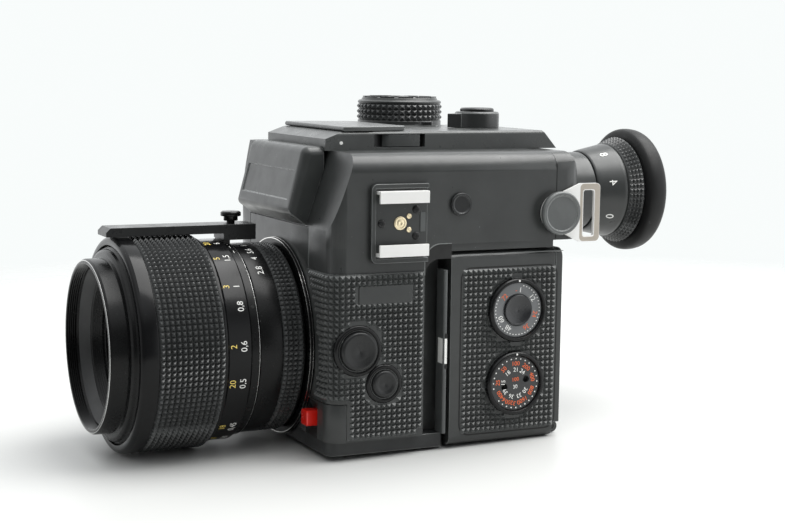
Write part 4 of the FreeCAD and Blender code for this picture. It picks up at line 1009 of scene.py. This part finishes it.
# -------- camera, floor, light
def make_camera():
    """Camera at the photograph's viewpoint: azimuth, elevation and roll in degrees."""
    azimuth, elevation, roll = map(math.radians, (64.655, 6.99, 0.709))
    back = Vector((math.sin(azimuth) * math.cos(elevation),
                   -math.cos(azimuth) * math.cos(elevation), math.sin(elevation)))
    side = Vector((0, 0, 1)).cross(back).normalized()
    up = back.cross(side)
    right = side * math.cos(roll) + up * math.sin(roll)
    top = up * math.cos(roll) - side * math.sin(roll)
    data = bpy.data.cameras.new("camera")
    data.sensor_width = 36.0
    data.lens = 74.4
    data.clip_start = 0.01
    obj = new_object("camera", data)
    place = Vector((0.49361, -0.2122, 0.1212))
    obj.matrix_world = Matrix.Translation(place) @ Matrix((right, top, back)).transposed().to_4x4()
    bpy.context.scene.camera = obj


def make_floor():
    """Pale paper under the camera, fading out into the white surroundings. The camera leans on
    its lens ring, so the paper tilts to touch it."""
    radii = [0.0, 0.06, 0.12, 0.2, 0.3, 0.4, 0.52]
    segments = 96
    verts = [(0.0, 0.0, 0.0)]
    verts += [(r * math.cos(j * math.tau / segments), r * math.sin(j * math.tau / segments), 0.0)
              for r in radii[1:] for j in range(segments)]
    faces = [[0, 1 + j, 1 + (j + 1) % segments] for j in range(segments)]
    for i in range(len(radii) - 2):
        for j in range(segments):
            k = (j + 1) % segments
            a, b = 1 + i * segments, 1 + (i + 1) * segments
            faces.append([a + j, b + j, b + k, a + k])
    mesh = bpy.data.meshes.new("floor")
    mesh.from_pydata(verts, [], faces)
    n = Skin("floor_paper")
    paper = n.mix(n.noise(160.0, 3.0), (0.58, 0.583, 0.572, 1), (0.61, 0.613, 0.603, 1))
    n.set(Base_Color=paper, Roughness=0.38, Specular_IOR_Level=0.1,
          Normal=n.bump(n.noise(0.8, 3.0), 0.01, 0.3))
    away = n.add("ShaderNodeVectorMath")
    away.operation = "LENGTH"
    n.feed(away, 0, n.place)
    fade = n.remap(away.outputs["Value"], 0.27, 0.47, 1.0, 0.0)
    n.set(Alpha=fade)
    mesh.materials.append(n.material)
    obj = new_object("floor", mesh)
    touch_lens = Vector((0.0, middle("focus_ring").y, low("focus_ring").z))
    touch_back = Vector((0.0, high("magazine_door").y - 2.0, low("magazine_shell").z))
    run = touch_back - touch_lens
    tilt = math.atan2(run.z, run.y)
    base = touch_lens + run * ((0.0 - touch_lens.y) / run.y)
    obj.matrix_world = (Matrix.Translation((0.0, 0.0, (base.z - 0.15) * MM))
                        @ Matrix.Rotation(tilt, 4, "X"))


def make_light():
    """White surroundings; what lights the object is bright overhead and behind, dark in front."""
    world = bpy.data.worlds.new("studio")
    world.use_nodes = True
    sky = Nodes(world.node_tree)
    seen = sky.tree.nodes["Background"]
    seen.inputs["Color"].default_value = (0.945, 0.975, 0.97, 1)
    lit = sky.add("ShaderNodeBackground", Color=(0.97, 0.99, 1.0, 1))
    direction = sky.add("ShaderNodeTexCoord").outputs["Generated"]

    def towards(vector, start, end, a, b):
        """Light that goes from a to b as the direction's cosine to the vector goes from start to end."""
        cosine = sky.add("ShaderNodeVectorMath")
        cosine.operation = "DOT_PRODUCT"
        sky.feed(cosine, 0, direction)
        sky.feed(cosine, 1, vector)
        strength = sky.remap(cosine.outputs["Value"], start, end, a, b)
        strength.node.interpolation_type = "SMOOTHSTEP"
        return strength

    def brighter(a, b):
        node = sky.add("ShaderNodeMath")
        node.operation = "MAXIMUM"
        sky.feed(node, 0, a)
        sky.feed(node, 1, b)
        return node.outputs[0]

    above = towards((0.0, 0.0, 1.0), 0.35, 0.85, 0.0, 1.4)
    behind = towards((-0.90, 0.42, 0.0), -0.1, 0.45, 0.14, 1.35)
    window = towards((-0.45, -0.86, 0.25), 0.6, 0.95, 0.0, 0.8)
    rear_side = towards((0.55, 0.83, 0.05), 0.76, 0.97, 0.0, 1.6)
    sky.feed(lit, "Strength", brighter(brighter(above, behind), brighter(window, rear_side)))
    choose = sky.add("ShaderNodeMixShader")
    sky.feed(choose, 0, sky.add("ShaderNodeLightPath").outputs["Is Camera Ray"])
    sky.feed(choose, 1, lit.outputs[0])
    sky.feed(choose, 2, seen.outputs[0])
    sky.feed(sky.tree.nodes["World Output"], "Surface", choose.outputs[0])
    bpy.context.scene.world = world
    data = bpy.data.lights.new("overhead", "AREA")
    data.shape = "RECTANGLE"
    data.size = 0.85
    data.size_y = 0.85
    data.energy = 12.0
    data.color = (1.0, 0.995, 0.98)
    place = Vector((0.08, 0.40, 0.88))
    back = (place - Vector((0.0, 0.02, 0.04))).normalized()
    obj = new_object("overhead", data)
    obj.matrix_world = Matrix.Translation(place) @ back.to_track_quat("Z", "Y").to_matrix().to_4x4()
    bpy.context.scene.view_settings.view_transform = "Standard"
    bpy.context.scene.view_settings.look = "None"


make_camera()
make_floor()
make_light()
for node_name, node in NODES.items():
    dress_node(node_name, node)
fused_housing()
make_lens()
make_eyepiece()
make_top()
make_left_side()
make_side_buttons()
make_shoe()
make_outlines()
make_right_side()

bpy.context.view_layer.update()
